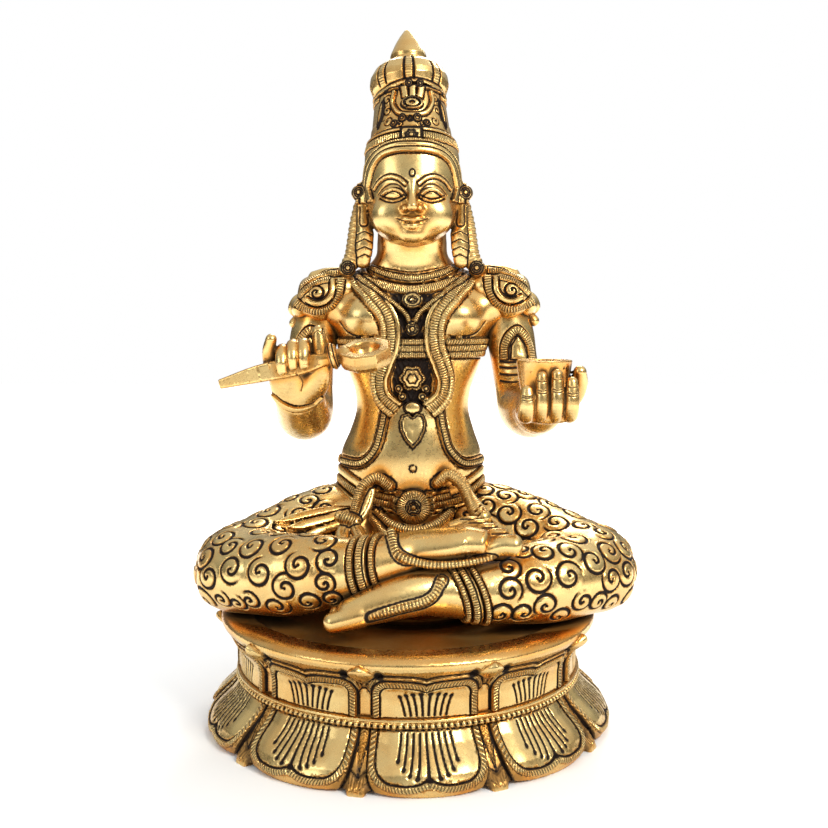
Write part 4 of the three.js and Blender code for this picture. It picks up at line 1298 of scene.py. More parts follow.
def left_arm():
    parts = [Limb(LEFT_ARM).blended(3)]
    parts.append(Limb([[72, -36, 183, 12, 11.2], [72.6, -49, 184.4, 14.4, 7],
                       [73.4, -69, 184.4, 15.4, 5.4]]).blended(4))
    for x, top, size in FINGERS:
        parts.append(finger([[x, -62, 184.4, size + 0.4], [x, -72.5, 184.6, size + 0.2],
                             [x, -76.8, 189, size], [x, -76.6, (top + 189) / 2, size * 0.92],
                             [x, -76, top - 2.6, size * 0.8]], 0.7))
    parts.append(finger([[83, -50, 187, 5.8], [89, -57, 193.6, 4.9], [90.6, -62, 200, 4.4],
                         [90, -66, 206.4, 3.5]], 1.5))
    profile = [[0, 9.4], [4, 11.4], [9.7, 12.8], [17, 14], [24.3, 15]]
    bowl = Turned(BOWL_FOOT, BOWL_FOOT + [0, 0, 1], profile)
    hollow = Turned(BOWL_FOOT, BOWL_FOOT + [0, 0, 1],
                    [[6.2, 1], [7, 7.4], [11, 10.6], [17, 11.8], [26, 12.9]])
    form = Joined(parts + [bowl.blended(0.6)], [hollow.blended(0.6)])
    marks = armlet_marks(parts[0], 1, 63.4, 229.2)
    joints = []
    for x, top, size in FINGERS:
        for z in (top - 4.5, (top + 186) / 2, (top + 188.6) / 2):
            joints.append(from_front(form, [[x - size * 0.7, z], [x, z - 0.5], [x + size * 0.7, z]], 3))
    marks.append(Cuts(joints, 0.5, 0.35, 0.75))
    return Relief(form, marks)


# Legs, feet and the engraved cloth over them

RIGHT_THIGH = [[-34, 22, 101, 34], [-58, 12, 98.6, 31, 31.4], [-78, 0, 94.2, 27.6, 30.4],
               [-100.4, -15, 90.4, 22.6, 29]]
LEFT_THIGH = [[36, 22, 101, 34], [61, 12, 99, 31.4, 31.4], [82, 0, 94.8, 28.2, 30.4],
              [106.8, -15, 90.8, 23, 29]]
RIGHT_SHIN = [
    [-98.6, -29, 89, 21.4, 25], [-82, -41, 91.2, 22.4, 24.4], [-66, -51, 93.5, 22.6, 22.6],
    [-48, -59.5, 97, 20.4, 20], [-33, -65, 100, 17.4], [-20, -67.4, 103.4, 14.4], [-6, -68, 107, 11.6],
]
LEFT_SHIN = [
    [104.6, -29, 89, 21.4, 25], [90, -42, 90, 22.4, 24.4], [73, -52, 89.6, 22.6], [57, -59.4, 88.8, 20],
    [43, -65, 88.5, 17.6], [30, -69, 88.3, 14.6], [17, -71, 88, 12],
]
UPPER_CORD = [[-10, -66, 121, 2.2], [-6, -78, 111, 2.2], [8, -80, 106.6, 2.1], [28, -79, 106.6, 1.9],
              [44, -75, 109, 1.5]]
LOWER_CORD = [[-26, -88, 80.5, 2.2], [-4, -88.5, 85.5, 2.2], [11, -85, 90, 2.2], [17, -81, 98, 2.2]]

ANKLET_LANES = ((-1, -0.4, 0), (-0.4, 1, 1))
# Toes of the upper foot, big toe first: y, z and x of the tip, and the radius
TOES = ((-72.8, 114.8, 60, 6.0), (-65.8, 118.2, 54.8, 4.5), (-61, 120.2, 49.8, 4.3),
        (-56.8, 121.6, 45, 4.1), (-53, 122.8, 40.6, 3.8))
# How steeply the toes are looked down on where their gaps are cut
TOE_SIGHT = 0.22
# The ribbon's pointed tails that lie on her right thigh, seen from the front, and their half widths
TAILS = (
    ([[-36, 121], [-50, 121], [-64, 117.6], [-79, 112.4]], 3.0),
    ([[-36, 119], [-48, 116], [-60, 112.8], [-72, 108.6]], 3.0),
    ([[-36, 117], [-44, 112], [-53, 108.8], [-61, 106.4]], 2.6),
)
TAIL_DROP = 0.28

SPIRAL_PITCH = 14.2
SPIRAL_SIZES = (5.6, 8.2)


def spirals(form, keep, first, seed):
    """Places for the cloth's spirals, packed outwards from a first one and then spread evenly."""
    step = 2.5
    low = form.box[0] - 2 * step
    counts = [int(n) for n in np.ceil((form.box[1] + 2 * step - low) / step) + 1]
    axes = [low[i] + np.arange(counts[i]) * step for i in range(3)]
    grid = np.stack(np.meshgrid(*axes, indexing="ij"), -1).reshape(-1, 3)
    spots, _ = surface_net(form.distance(grid).reshape(counts), low, step)
    value, slope = slope_of(form.distance, spots, 0.5)
    outward = unit(slope)
    spots = spots - outward * value[:, None]
    rows = keep(spots) & (outward[:, 2] > -0.8)
    spots, outward = spots[rows], outward[rows]
    chosen = [int(np.argmin(np.linalg.norm(spots - first, axis=1)))]
    apart = np.linalg.norm(spots - spots[chosen[0]], axis=1)
    while (apart > SPIRAL_PITCH).any():
        chosen.append(int(np.argmin(np.where(apart > SPIRAL_PITCH, apart, FAR * 10))))
        apart = np.minimum(apart, np.linalg.norm(spots - spots[chosen[-1]], axis=1))
    for _ in range(6):
        gaps = np.linalg.norm(spots[:, None] - spots[chosen][None], axis=2)
        owner = np.argmin(gaps, axis=1)
        for i in range(len(chosen)):
            own = np.nonzero(owner == i)[0]
            chosen[i] = int(own[np.argmin(np.linalg.norm(spots[own] - spots[own].mean(axis=0), axis=1))])
    centres = spots[chosen]
    gaps = np.linalg.norm(centres[:, None] - centres[None], axis=2) + np.eye(len(centres)) * FAR
    sizes = np.clip(gaps.min(axis=1) * 0.5 + 0.8, *SPIRAL_SIZES)
    random = np.random.default_rng(seed)
    marks = []
    for i, number in enumerate(chosen):
        hand = 1 if random.random() < 0.75 else -1
        marks.append([spots[number], outward[number], sizes[i], random.uniform(0, TURN), hand])
    return marks


def right_leg():
    cloth = Joined([Limb(RIGHT_THIGH, side=UPWARD).blended(5), Limb(RIGHT_SHIN, side=UPWARD).blended(13)])
    foot = [[-12, -64, 106.6, 11, 11], [4, -65, 110.4, 10.8, 11.8], [20, -66, 113.4, 9.6, 12.6],
            [31, -67.4, 115.4, 8.6, 11.4], [40, -70.6, 115.6, 7.0, 8.4]]
    parts = [Limb(foot, side=UPWARD, tip=0.5).blended(4)]
    for y, z, tip, size in TOES:
        toe = [[tip - 17, y + 1.4, z - 2.4, size * 0.9], [tip - 9, y, z + 0.2, size * 0.96],
               [tip - 4.6, y - 0.2, z, size]]
        parts.append(Limb(toe, steps=5, tip=0.8).blended(0.3))
    cord = Limb(UPPER_CORD).blended(0.4)
    form = Joined(cloth.parts + parts + [cord])

    def keep(p):
        return (p[:, 0] < np.where(p[:, 1] < -44, -35, -45)) & (p[:, 2] > 72)

    marks = [Swirls(spirals(cloth, keep, [-80, -64, 96], 3))]
    for x, half, lanes in ((-26, 1.7, TICKED), (-20.6, 2.9, ANKLET_LANES), (-15.2, 1.6, TICKED)):
        ring = around(cloth, [x, -65.6 - 0.15 * (x + 30), 101], [1, -0.32, 0.16])
        marks.append(Ribbon(ring, half, 1.7, lanes, pitch=1.4, cut=0.9, deep=6))
    for points, half in TAILS:
        starts = smooth_line([[x, FRONT, z + 110 * TAIL_DROP] for x, z in points], 6)
        tail = cast(cloth, starts, (0, 1, -TAIL_DROP))
        marks.append(Ribbon(tail, half, 2.4, PLAIN, cut=1.0, narrow=(1.1, 0.15)))
    # Dark lines where each toe shows over the one in front of it, cut along the line of sight: the cut is
    # carved, its darkness is painted shade between the toes
    gaps = []
    for (near_y, near_z, _, near_size), (_, _, tip, _) in zip(TOES, TOES[1:]):
        above = near_z + near_size + 0.3 + TOE_SIGHT * (near_y - FRONT)
        starts = [[x, FRONT, above] for x in np.linspace(tip - 13, tip - 0.4, 7)]
        gaps.append(cast(form, starts, (0, 1, -TOE_SIGHT)))
    marks.append(Cuts(gaps, 0.9, 0.8))
    marks.append(Roped(cord, 1.9, 1.0, 0.25))
    return Relief(form, marks)


def left_leg():
    cloth = Joined([Limb(LEFT_THIGH, side=UPWARD).blended(5), Limb(LEFT_SHIN, side=UPWARD).blended(13)])
    foot = [[20, -72, 91, 11.4, 11.4], [6, -75.6, 90, 12, 11.6], [-10, -79, 87.2, 11, 11],
            [-22, -81.4, 83.8, 9.4, 9.8], [-31, -82.5, 81, 7.6, 8.8]]
    parts = [Limb(foot, side=UPWARD).blended(4)]
    parts.append(finger([[-26, -86, 81, 6.8], [-34, -87.4, 79, 6], [-39.4, -88, 77.6, 5.4]], 1.0))
    parts.append(finger([[-26, -78, 82.4, 5.6], [-33, -77.4, 80.8, 5], [-38, -77, 79.4, 4.4]], 0.6))
    cord = Limb(LOWER_CORD).blended(0.4)
    form = Joined(cloth.parts + parts + [cord])

    def keep(p):
        return (p[:, 0] > np.where(p[:, 1] < -30, 43.5, 30)) & (p[:, 2] > 72)

    marks = [Swirls(spirals(cloth, keep, [84, -64, 96], 8))]
    for x, half, lanes in ((25.4, 1.6, TICKED), (30.2, 2.7, ANKLET_LANES), (35, 1.6, TICKED)):
        ring = around(cloth, [x, -70 + 0.3 * (x - 30), 88.5], [1, 0.36, 0.3])
        marks.append(Ribbon(ring, half, 1.7, lanes, pitch=1.4, cut=0.9, deep=6))
    marks.append(Roped(cord, 1.9, 1.0, 0.25))
    return Relief(form, marks)


# Shoulder armour, drawn for her right shoulder; the left one stands a little further out and higher

ARMOUR_SHIFT = (2.0, 1.5)
ARMOUR_OUT = 3.6
OUTER_BAND = [[40.4, 257.4], [41.6, 248.8], [46, 241.6], [52.9, 238.8], [61, 240], [66.6, 244]]
INNER_BAND = [[45, 256.5], [45.6, 248.8], [49.6, 244.4], [54.6, 243.2], [60.4, 245.6]]
CURL = [54.2, 249.4]
TOP_BANDS = [[[41, 261.6], [50, 260.6], [58, 257.4], [64, 252.6]],
             [[46.6, 257.6], [54, 255.8], [60.6, 251.8], [65.4, 247.4]]]


def armour(side):
    shift_x, shift_z = ARMOUR_SHIFT if side > 0 else (0, 0)

    def x(value):
        return 1.5 + side * (value + ARMOUR_OUT) + shift_x

    def z(value):
        return value + shift_z

    def placed(points):
        return [[x(a - 1.5), z(b)] for a, b in points]

    form = Joined([
        Limb([[x(37), 18, z(251.6), 15, 10.6], [x(49), 18, z(247.6), 19.4, 14.6],
              [x(59), 18.5, z(243), 18, 13], [x(63), 18.5, z(241), 14, 7]], side=(0, 1, 0)).blended(1),
        Limb([[x(62), 18, z(247), 4], [x(66), 18.6, z(244), 4.4], [x(68.6), 19.6, z(240), 3.4],
              [x(66), 19.4, z(236), 2.6], [x(68), 19, z(231.6), 3.4]]).blended(0.6),
        Limb([[x(34), 13, z(262.6), 2.6], [x(42), 13, z(261.6), 3.4], [x(49), 13.8, z(261.4), 3.2],
              [x(55), 14.5, z(259), 4]]).blended(1),
    ])
    bands = [from_front(form, placed(points), 8) for points in TOP_BANDS]
    marks = [Ribbon(band, 2.0, 1.0, TICKED, pitch=1.3) for band in bands]
    marks.append(Ribbon(from_front(form, placed(OUTER_BAND), 8), 2.5, 1.7, TICKED, pitch=1.5, cut=0.8))
    marks.append(Ribbon(from_front(form, placed(INNER_BAND), 8), 1.7, 1.5, PLAIN, cut=0.7))
    curl = on_front(form, *placed([CURL])[0])
    marks.append(Swirls([[curl[0][0], curl[1][0], 4.6, 0.6, side]], depth=1.2, width=0.9, turns=1.3,
                        dome=1.4))
    back = [cast(form, [[a, FAR_BEHIND, b] for a, b in placed(points)], (0, -1, 0))
            for points in (OUTER_BAND, INNER_BAND)]
    marks += [Ribbon((smooth_line(spots, 6), smooth_line(outward, 6)), 2.2, 1.2, TICKED)
              for spots, outward in back]
    return Relief(form, marks)


# Pedestal, in row-frame millimetres: ten petals a row, the lower ones hanging and the upper ones standing

PETALS = 10
PETAL_TURN = math.radians(5.5)
PITCH = TURN / PETALS
BEAD_Z = 31.0
BEAD_HALF = 3.0
LOWER_PROFILE = np.array([[0, 118.6], [3, 119.6], [7, 119.2], [11, 116.4], [16, 110.8], [22, 104.2],
                          [27.9, 99.6], [34, 99]])
LEAF_PROFILE = np.array([[0, 117.4], [4, 117], [9, 114], [16, 108.4], [22, 103], [27.9, 98.9], [34, 98]])
UPPER_PROFILE = np.array([[28, 99.4], [34, 99.2], [44, 99.2], [49, 100.2], [53, 102.4], [56, 105],
                          [58.6, 107.8], [61, 110], [63, 110.8], [65, 110.8], [68, 109.4]])
# The seat's floor inside the rim: its radius, the rim's slope in and the depth
SEAT_FLOOR = (92.6, 3.0, 1.2)


def panel(x, z, half, bottom, corner):
    """A panel open at its top, seen flat: the distance from its outline and the run along that outline."""
    dx = np.abs(x) - half + corner
    dz = bottom + corner - z
    outside = np.hypot(np.maximum(dx, 0), np.maximum(dz, 0))
    distance = outside + np.minimum(np.maximum(dx, dz), 0) - corner
    straight = half - corner
    turned = np.arctan2(np.maximum(dx, 0), np.maximum(dz, 1e-6))
    in_corner = (dx > 0) & (dz > 0)
    along_side = straight + corner * math.pi / 2 - dz
    run = np.where(in_corner, straight + corner * turned, np.where(dz <= 0, along_side, np.abs(x)))
    inner_side = (dx <= 0) & (dz <= 0) & (dx > dz)
    run = np.where((dx <= 0) & ~inner_side, np.abs(x), run)
    return distance, run


def petal_place(p):
    """Each point's height, half pitch, distance across its petal and from the gap, and share across it."""
    radius = np.hypot(p[:, 0], p[:, 1])
    share = (np.arctan2(p[:, 0], -p[:, 1]) - PETAL_TURN) / PITCH
    u = 2 * (share - np.round(share))
    half_pitch = radius * PITCH / 2
    return p[:, 2], half_pitch, u * half_pitch, (1 - np.abs(u)) * half_pitch, np.abs(u)


def stamens(x, run, count, pitch, fan, length, droop, bend):
    """Engraved lines that fan out over run and bend outwards, each ending in a dot."""
    spread = 1 + run / fan
    middle = (count - 1) / 2
    lane = (x - bend * np.tanh(x / pitch / 2) * (run / length) ** 2) / spread / pitch
    which = np.clip(np.round(lane + middle) - middle, -middle, middle)
    side = (lane - which) * pitch * spread
    reach = length - droop * which * which
    line = groove(side, 0.85) * smoothstep(reach - run, 0, 0.5) * smoothstep(run, 0.2, 1)
    dot = groove(np.hypot(side, run - reach), 1.6)
    return np.maximum(line, dot)


# Half the width of the boxes around the pedestal, the beads of its ring, and the petals' borders and ticks
SLAB_HALF = 130
RING_RADIUS = 102
BEAD_PITCH = 3.3
BORDER = 3.5
PLAIN_BORDER = 3.4
TICK_PITCH = 1.7


class LowerPetals(Boxed):
    """The hanging row: petals with a hatched border, a crowned panel and stamens, and leaves between them."""

    def at(self, p):
        z, half_pitch, x, leaf_x, u = petal_place(p)
        half = half_pitch * (0.845 + 0.045 * smoothstep(z, 4, 24))
        body = np.interp(z, LOWER_PROFILE[:, 0], LOWER_PROFILE[:, 1])
        leaf = np.interp(z, LEAF_PROFILE[:, 0], LEAF_PROFILE[:, 1])
        wave = 1.5 * np.exp(-((x / 4.5) ** 2)) - 0.8 * np.exp(-(((np.abs(x) - 12) / 7) ** 2))
        border, run = panel(x, z - wave, half, 3.4, 13)
        outline, _ = panel(x, z, half, -4.6, 17)
        petal = 1 - smoothstep(outline, -0.4, 1.0)
        lobe = 3.6 * u**2.4 * (1 - smoothstep(z, 2, 15))
        height = (leaf - body) * (1 - petal) - lobe * petal
        band = smoothstep(-border, -0.1, 0.5) * smoothstep(border, -BORDER - 0.3, -BORDER + 0.3)
        inner = groove(border + BORDER + 0.35, 0.7)
        outer = groove(outline - 0.7, 0.9)
        height += 0.85 * band - 0.5 * inner - 0.7 * outer
        height += 1.0 * smoothstep(-border, BORDER + 0.6, 12) * petal
        dark = np.maximum(0.9 * inner, outer)
        drop = 27.4 - z
        lines = stamens(x, drop, 9, 3.1, 90, 18.5, 0.45, 3.0) * petal
        height -= 0.7 * lines
        point = z - 4.6 - leaf_x * 0.8
        off_petal = smoothstep(outline, 0.8, 1.2)
        chevron = groove(point - 2.4, 0.6) * off_petal
        hatched = off_petal * smoothstep(point, -3.0, -2.4) * (1 - smoothstep(point, 1.2, 1.8))
        leaf_half = 0.17 * (z - 7.0)
        leaf_line = groove(leaf_x - leaf_half, 0.6) * off_petal * (z > 7.0)
        stippled = off_petal * smoothstep(leaf_half - leaf_x, 0.2, 0.8)
        tip = off_petal * (1 - smoothstep(leaf_x, 3.4, 6.4)) * (1 - smoothstep(z, 2, 7))
        height += 0.6 * hatched - 0.4 * chevron + 2.0 * tip - 0.35 * leaf_line
        dark = np.maximum.reduce([dark, lines, 0.8 * chevron, 0.8 * leaf_line])
        below = z < 28.0
        ticked = np.maximum.reduce([band, 0.8 * hatched, 0.45 * stippled]) * below
        phase = np.where(band > 0.01, run / TICK_PITCH + border * 0.25,
                         (leaf_x + z * stippled) / TICK_PITCH)
        fine = (np.abs(border + BORDER / 2) < BORDER / 2 + 0.9) | (np.abs(outline - 0.3) < 1.6)
        fine |= (lines > 0) | (chevron > 0) | (hatched > 0) | (leaf_line > 0)
        return Mark(height * below, dark * below, fine & below, 0.0, phase, ticked)


class UpperPetals(Boxed):
    """The standing row: two-lobed hatched borders, stamens, and leaves whose tips lap over the rim."""

    def at(self, p):
        z, half_pitch, x, leaf_x, _ = petal_place(p)
        half = half_pitch * 0.9
        cusp = 3.0 * np.exp(-np.abs(x) / 5.5)
        border, run = panel(x, -(z + cusp), half - 1.2, -54.4, 8.5)
        on_wall = smoothstep(z, 33.8, 34.2) * (1 - smoothstep(z, 58.6, 60.6))
        petal = 1 - smoothstep(border, -0.3, 0.7)
        band = smoothstep(-border, -0.1, 0.5) * smoothstep(border, -BORDER - 0.3, -BORDER + 0.3)
        inner = groove(border + BORDER + 0.35, 0.7)
        outer = groove(border - 0.7, 0.9)
        plain = smoothstep(PLAIN_BORDER - border, -0.2, 0.8) * smoothstep(z, 45, 50)
        plain_edge = groove(border - PLAIN_BORDER - 0.6, 0.8) * smoothstep(z, 47, 52)
        height = 1.5 * petal + 0.7 * band - 0.5 * inner - 0.6 * outer
        height = height - 0.5 * smoothstep(-border, BORDER + 0.4, 7) * petal
        height += 1.3 * plain * (1 - petal) - 0.6 * plain_edge
        lines = stamens(x, z - 34, 8, 3.0, 90, 12.5, 0.12, 2.0) * petal
        height -= 0.7 * lines
        off_petal = smoothstep(border, 0.8, 1.2)
        arch = np.hypot(leaf_x, z - 46.5) - 2.6
        arch_line = groove(arch, 0.6) * (z > 46.5) * off_petal
        fan = off_petal * smoothstep(arch, 1.2, 1.6) * smoothstep(z, 48, 49) * (1 - smoothstep(z, 54.6, 55))
        height -= 0.4 * arch_line
        dark = np.maximum.reduce([0.9 * inner, outer, lines, 0.8 * arch_line, 0.8 * plain_edge]) * on_wall
        height = height * on_wall
        # The leaf's tip laps over the rim, with a hollow at each side whose darkness is painted shade
        low = np.where(z < 58.6, 6.0, 5.8 - 0.35 * leaf_x)
        tip = 3.5 * np.clip(1 - (leaf_x / 7.0) ** 2 - ((z - 58.6) / low) ** 2, 0, 1) ** 0.55 * (z > 50)
        tip += 0.8 * (tip > 0) * np.clip(1 - leaf_x / 3, 0, 1)
        hollow = groove(np.hypot((leaf_x - 9.2) / 1.3, (z - 57.8) / 1.5), 2.8)
        height += tip - 1.5 * hollow * (tip <= 0)
        dark = np.maximum(dark, hollow * (tip < 1.5))
        ticked = np.maximum(band, fan) * on_wall
        phase = np.where(band > 0.01, run / TICK_PITCH - border * 0.25, np.arctan2(leaf_x, z - 44) * 8)
        fine = (np.abs(border + BORDER / 2) < BORDER / 2 + 0.9) & (z < 58)
        fine |= (lines > 0) | (arch_line > 0) | (tip > 0) | (hollow > 0) | (outer > 0) & (z < 60)
        fine |= (plain_edge > 0) & (z < 61)
        radius = np.hypot(p[:, 0], p[:, 1])
        inner_radius, slope, depth = SEAT_FLOOR
        floor = smoothstep(inner_radius + slope - radius, 0, slope) * (z > 66)
        height -= depth * floor
        # Painted shade: the seat's floor is darkened a little, standing for the figure's dark reflection in
        # it
        dark = np.maximum(dark, 0.27 * floor)
        above = z > 33.4
        return Mark(height * above, dark * above, fine & above, 0.0, phase, ticked)


class BeadRing(Boxed):
    """The waist's ring: a smooth edge over a row of beads."""

    def at(self, p):
        run = np.arctan2(p[:, 0], -p[:, 1]) * RING_RADIUS
        rise = p[:, 2] - BEAD_Z
        pitch = TURN * RING_RADIUS / round(TURN * RING_RADIUS / BEAD_PITCH)
        off = (run / pitch - np.round(run / pitch)) * pitch
        band = smoothstep(BEAD_HALF - np.abs(rise), 0, 0.7)
        edge = np.sqrt(np.clip(1 - ((rise - 1.7) / 1.3) ** 2, 0, 1))
        bead = np.sqrt(np.clip(1 - (off / 1.5) ** 2 - ((rise + 1.2) / 1.6) ** 2, 0, 1))
        pits = groove(np.hypot(np.abs(off) - pitch / 2, (rise + 1.2) / 1.4), 0.95) * band
        crease = groove(np.abs(rise) - BEAD_HALF - 0.3, 0.8)
        height = 1.6 * band + 1.1 * edge * band + 1.3 * bead * band - 0.3 * pits - 0.3 * crease
        dark = np.maximum(0.95 * pits, 0.8 * crease)
        return Mark(height, dark, np.abs(rise) < BEAD_HALF + 1.0)


class Drum(Form):
    """A round base standing upright, with a profile [z, radius]."""

    def __init__(self, profile, low, high, rounded=0.5):
        self.profile = np.asarray(profile, float)
        self.low, self.high, self.rounded = low, high, rounded
        reach = self.profile[:, 1].max() + 4
        self.box = (np.array([-reach, -reach, low]), np.array([reach, reach, high]))

    def distance(self, p):
        radius = np.hypot(p[:, 0], p[:, 1])
        reach = np.interp(p[:, 2], self.profile[:, 0], self.profile[:, 1])
        ends = np.maximum(self.low - p[:, 2], p[:, 2] - self.high)
        return -smooth_min(-(radius - reach) * 0.85, -ends, self.rounded)


def slab(low, high):
    """A box between two heights that takes in the whole pedestal."""
    return np.array([-SLAB_HALF, -SLAB_HALF, low], float), np.array([SLAB_HALF, SLAB_HALF, high], float)


def lower_pedestal():
    form = Drum(LOWER_PROFILE, 0, 33)
    return Relief(form, [LowerPetals(slab(-1, 28)), BeadRing(slab(27, 36))])


def upper_pedestal():
    return Relief(Drum(UPPER_PROFILE, 30.5, 68, 5), [UpperPetals(slab(33, 64))])


# Making the meshes, their colours and the scene

PIECES = [
    ("pedestal_lower_row", lower_pedestal, "lotus_pedestal", "pedestal_brass", 185000, LEVEL),
    ("pedestal_upper_row", upper_pedestal, "lotus_pedestal", "pedestal_brass", 150000, LEVEL),
    ("head_and_crown", head, "goddess_figure", "figure_brass", 120000, SEAT_SHIFT),
    ("torso", torso, "goddess_figure", "figure_brass", 150000, SEAT_SHIFT),
    ("right_shoulder_armour", lambda: armour(-1), "goddess_figure", "figure_brass", 32000, SEAT_SHIFT),
    ("left_shoulder_armour", lambda: armour(1), "goddess_figure", "figure_brass", 32000, SEAT_SHIFT),
    ("right_arm_and_ladle", right_arm, "goddess_figure", "figure_brass", 52000, SEAT_SHIFT),
    ("left_arm_and_bowl", left_arm, "goddess_figure", "figure_brass", 52000, SEAT_SHIFT),
    ("right_leg", right_leg, "goddess_figure", "figure_brass", 114000, SEAT_SHIFT),
    ("left_leg", left_leg, "goddess_figure", "figure_brass", 108000, SEAT_SHIFT),
]

# How far around it a point looks for what closes it in, and how much each distance counts, for the painted
# shade of crevices and of places between parts
PAINTED_SHADE_REACHES = ((1.6, 0.3), (4.5, 0.4), (11.0, 0.3))


def painted_crevice_shade(p, outward, shift, reliefs):
    """How closed in each point is by the forms around it, from 0 in the open to 1 in a deep hollow: an
    occlusion that the brass paints as shade.
    """
    total = np.zeros(len(p))
    for reach, share in PAINTED_SHADE_REACHES:
        spots = p + outward * reach
        gap = np.full(len(p), reach)
        for (_, _, _, _, _, other_shift), relief in zip(PIECES, reliefs):
            there = spots + (shift - other_shift)
            near = relief.form.near(there, reach)
            if len(near):
                gap[near] = np.minimum(gap[near], relief.form.distance(there[near]))
        total += share * (1 - np.clip(gap / reach, 0, 1))
    return total


def worked_out(number):
    """One piece's mesh with the values its material reads at each vertex."""
    _, _, _, _, limit, shift = PIECES[number]
    relief = reliefs[number]
    vertices, faces = meshed(relief, limit // FEWER)
    vertices[:, 2] = np.maximum(vertices[:, 2], -shift[2])
    _, slope = slope_of(relief.distance, vertices, 0.1)
    outward = unit(slope)
    total, _ = relief.carved(vertices)
    values = {
        # The patina attribute is patina in carved lines, except at the toe gaps, the leaf-tip hollows and the
        # seat's floor, where it is painted shade
        "patina": total["dark"],
        "tick_run": total["phase"],
        "ticks": total["ticks"],
        # hollow is painted shade: the brass is darkened and warmed where the forms close in
        "hollow": painted_crevice_shade(vertices, outward, shift, reliefs),
    }
    return vertices, faces, outward, values


def blender_mesh(name, vertices, faces, normals, values, shift):
    data = bpy.data.meshes.new(name)
    spots = (vertices + shift) * MM
    data.vertices.add(len(spots))
    data.vertices.foreach_set("co", spots.astype(np.float32).ravel())
    data.loops.add(len(faces) * 3)
    data.loops.foreach_set("vertex_index", faces.astype(np.int32).ravel())
    data.polygons.add(len(faces))
    data.polygons.foreach_set("loop_start", np.arange(0, len(faces) * 3, 3, dtype=np.int32))
    data.update(calc_edges=True)
    data.validate()
    data.shade_smooth()
    data.normals_split_custom_set_from_vertices(normals.astype(np.float32))
    for title, numbers in values.items():
        layer = data.attributes.new(title, "FLOAT", "POINT")
        layer.data.foreach_set("value", numbers.astype(np.float32))
    thing = bpy.data.objects.new(name, data)
    bpy.context.scene.collection.objects.link(thing)
    return thing


# Brass

CLEAN_BRASS = (0.76, 0.54, 0.22)
WARM_TONE_AND_SHADE = (0.66, 0.30, 0.06)
PATINA_AND_SHADE_COLOUR = (0.010, 0.004, 0.0015)
TICK_BUMP = 0.00022
CAST_BUMP = 0.00004
# Scales of the noise for the slow change of colour, the cast skin's grain and its small dents
CLOUD_SCALE = 42.0
GRAIN_SCALE = 520.0
DENT_SCALE = 150.0


class Nodes:
    """A material's or world's node tree, with short ways to add to it."""

    def __init__(self, tree):
        self.tree = tree

    def feed(self, socket, value):
        if isinstance(value, bpy.types.NodeSocket):
            self.tree.links.new(value, socket)
        else:
            socket.default_value = value

    def add(self, kind, **inputs):
        node = self.tree.nodes.new("ShaderNode" + kind)
        for title, value in inputs.items():
            self.feed(node.inputs[title.replace("_", " ")], value)
        return node

    def math(self, operation, *values):
        node = self.tree.nodes.new("ShaderNodeMath")
        node.operation = operation
        for socket, value in zip(node.inputs, values):
            self.feed(socket, value)
        return node.outputs[0]

    def attribute(self, name):
        node = self.tree.nodes.new("ShaderNodeAttribute")
        node.attribute_name = name
        return node.outputs["Fac"]

    def spread(self, value, low, high, to_low=0.0, to_high=1.0):
        """A value between low and high spread smoothly to another span."""
        node = self.add("MapRange", Value=value, From_Min=low, From_Max=high, To_Min=to_low, To_Max=to_high)
        node.interpolation_type = "SMOOTHSTEP"
        return node.outputs["Result"]

    def blend(self, share, first, second):
        node = self.tree.nodes.new("ShaderNodeMix")
        node.data_type = "RGBA"
        for title, value in (("Factor", share), ("A", first), ("B", second)):
            self.feed(next(s for s in node.inputs if s.name == title and s.enabled), value)
        return next(s for s in node.outputs if s.enabled)


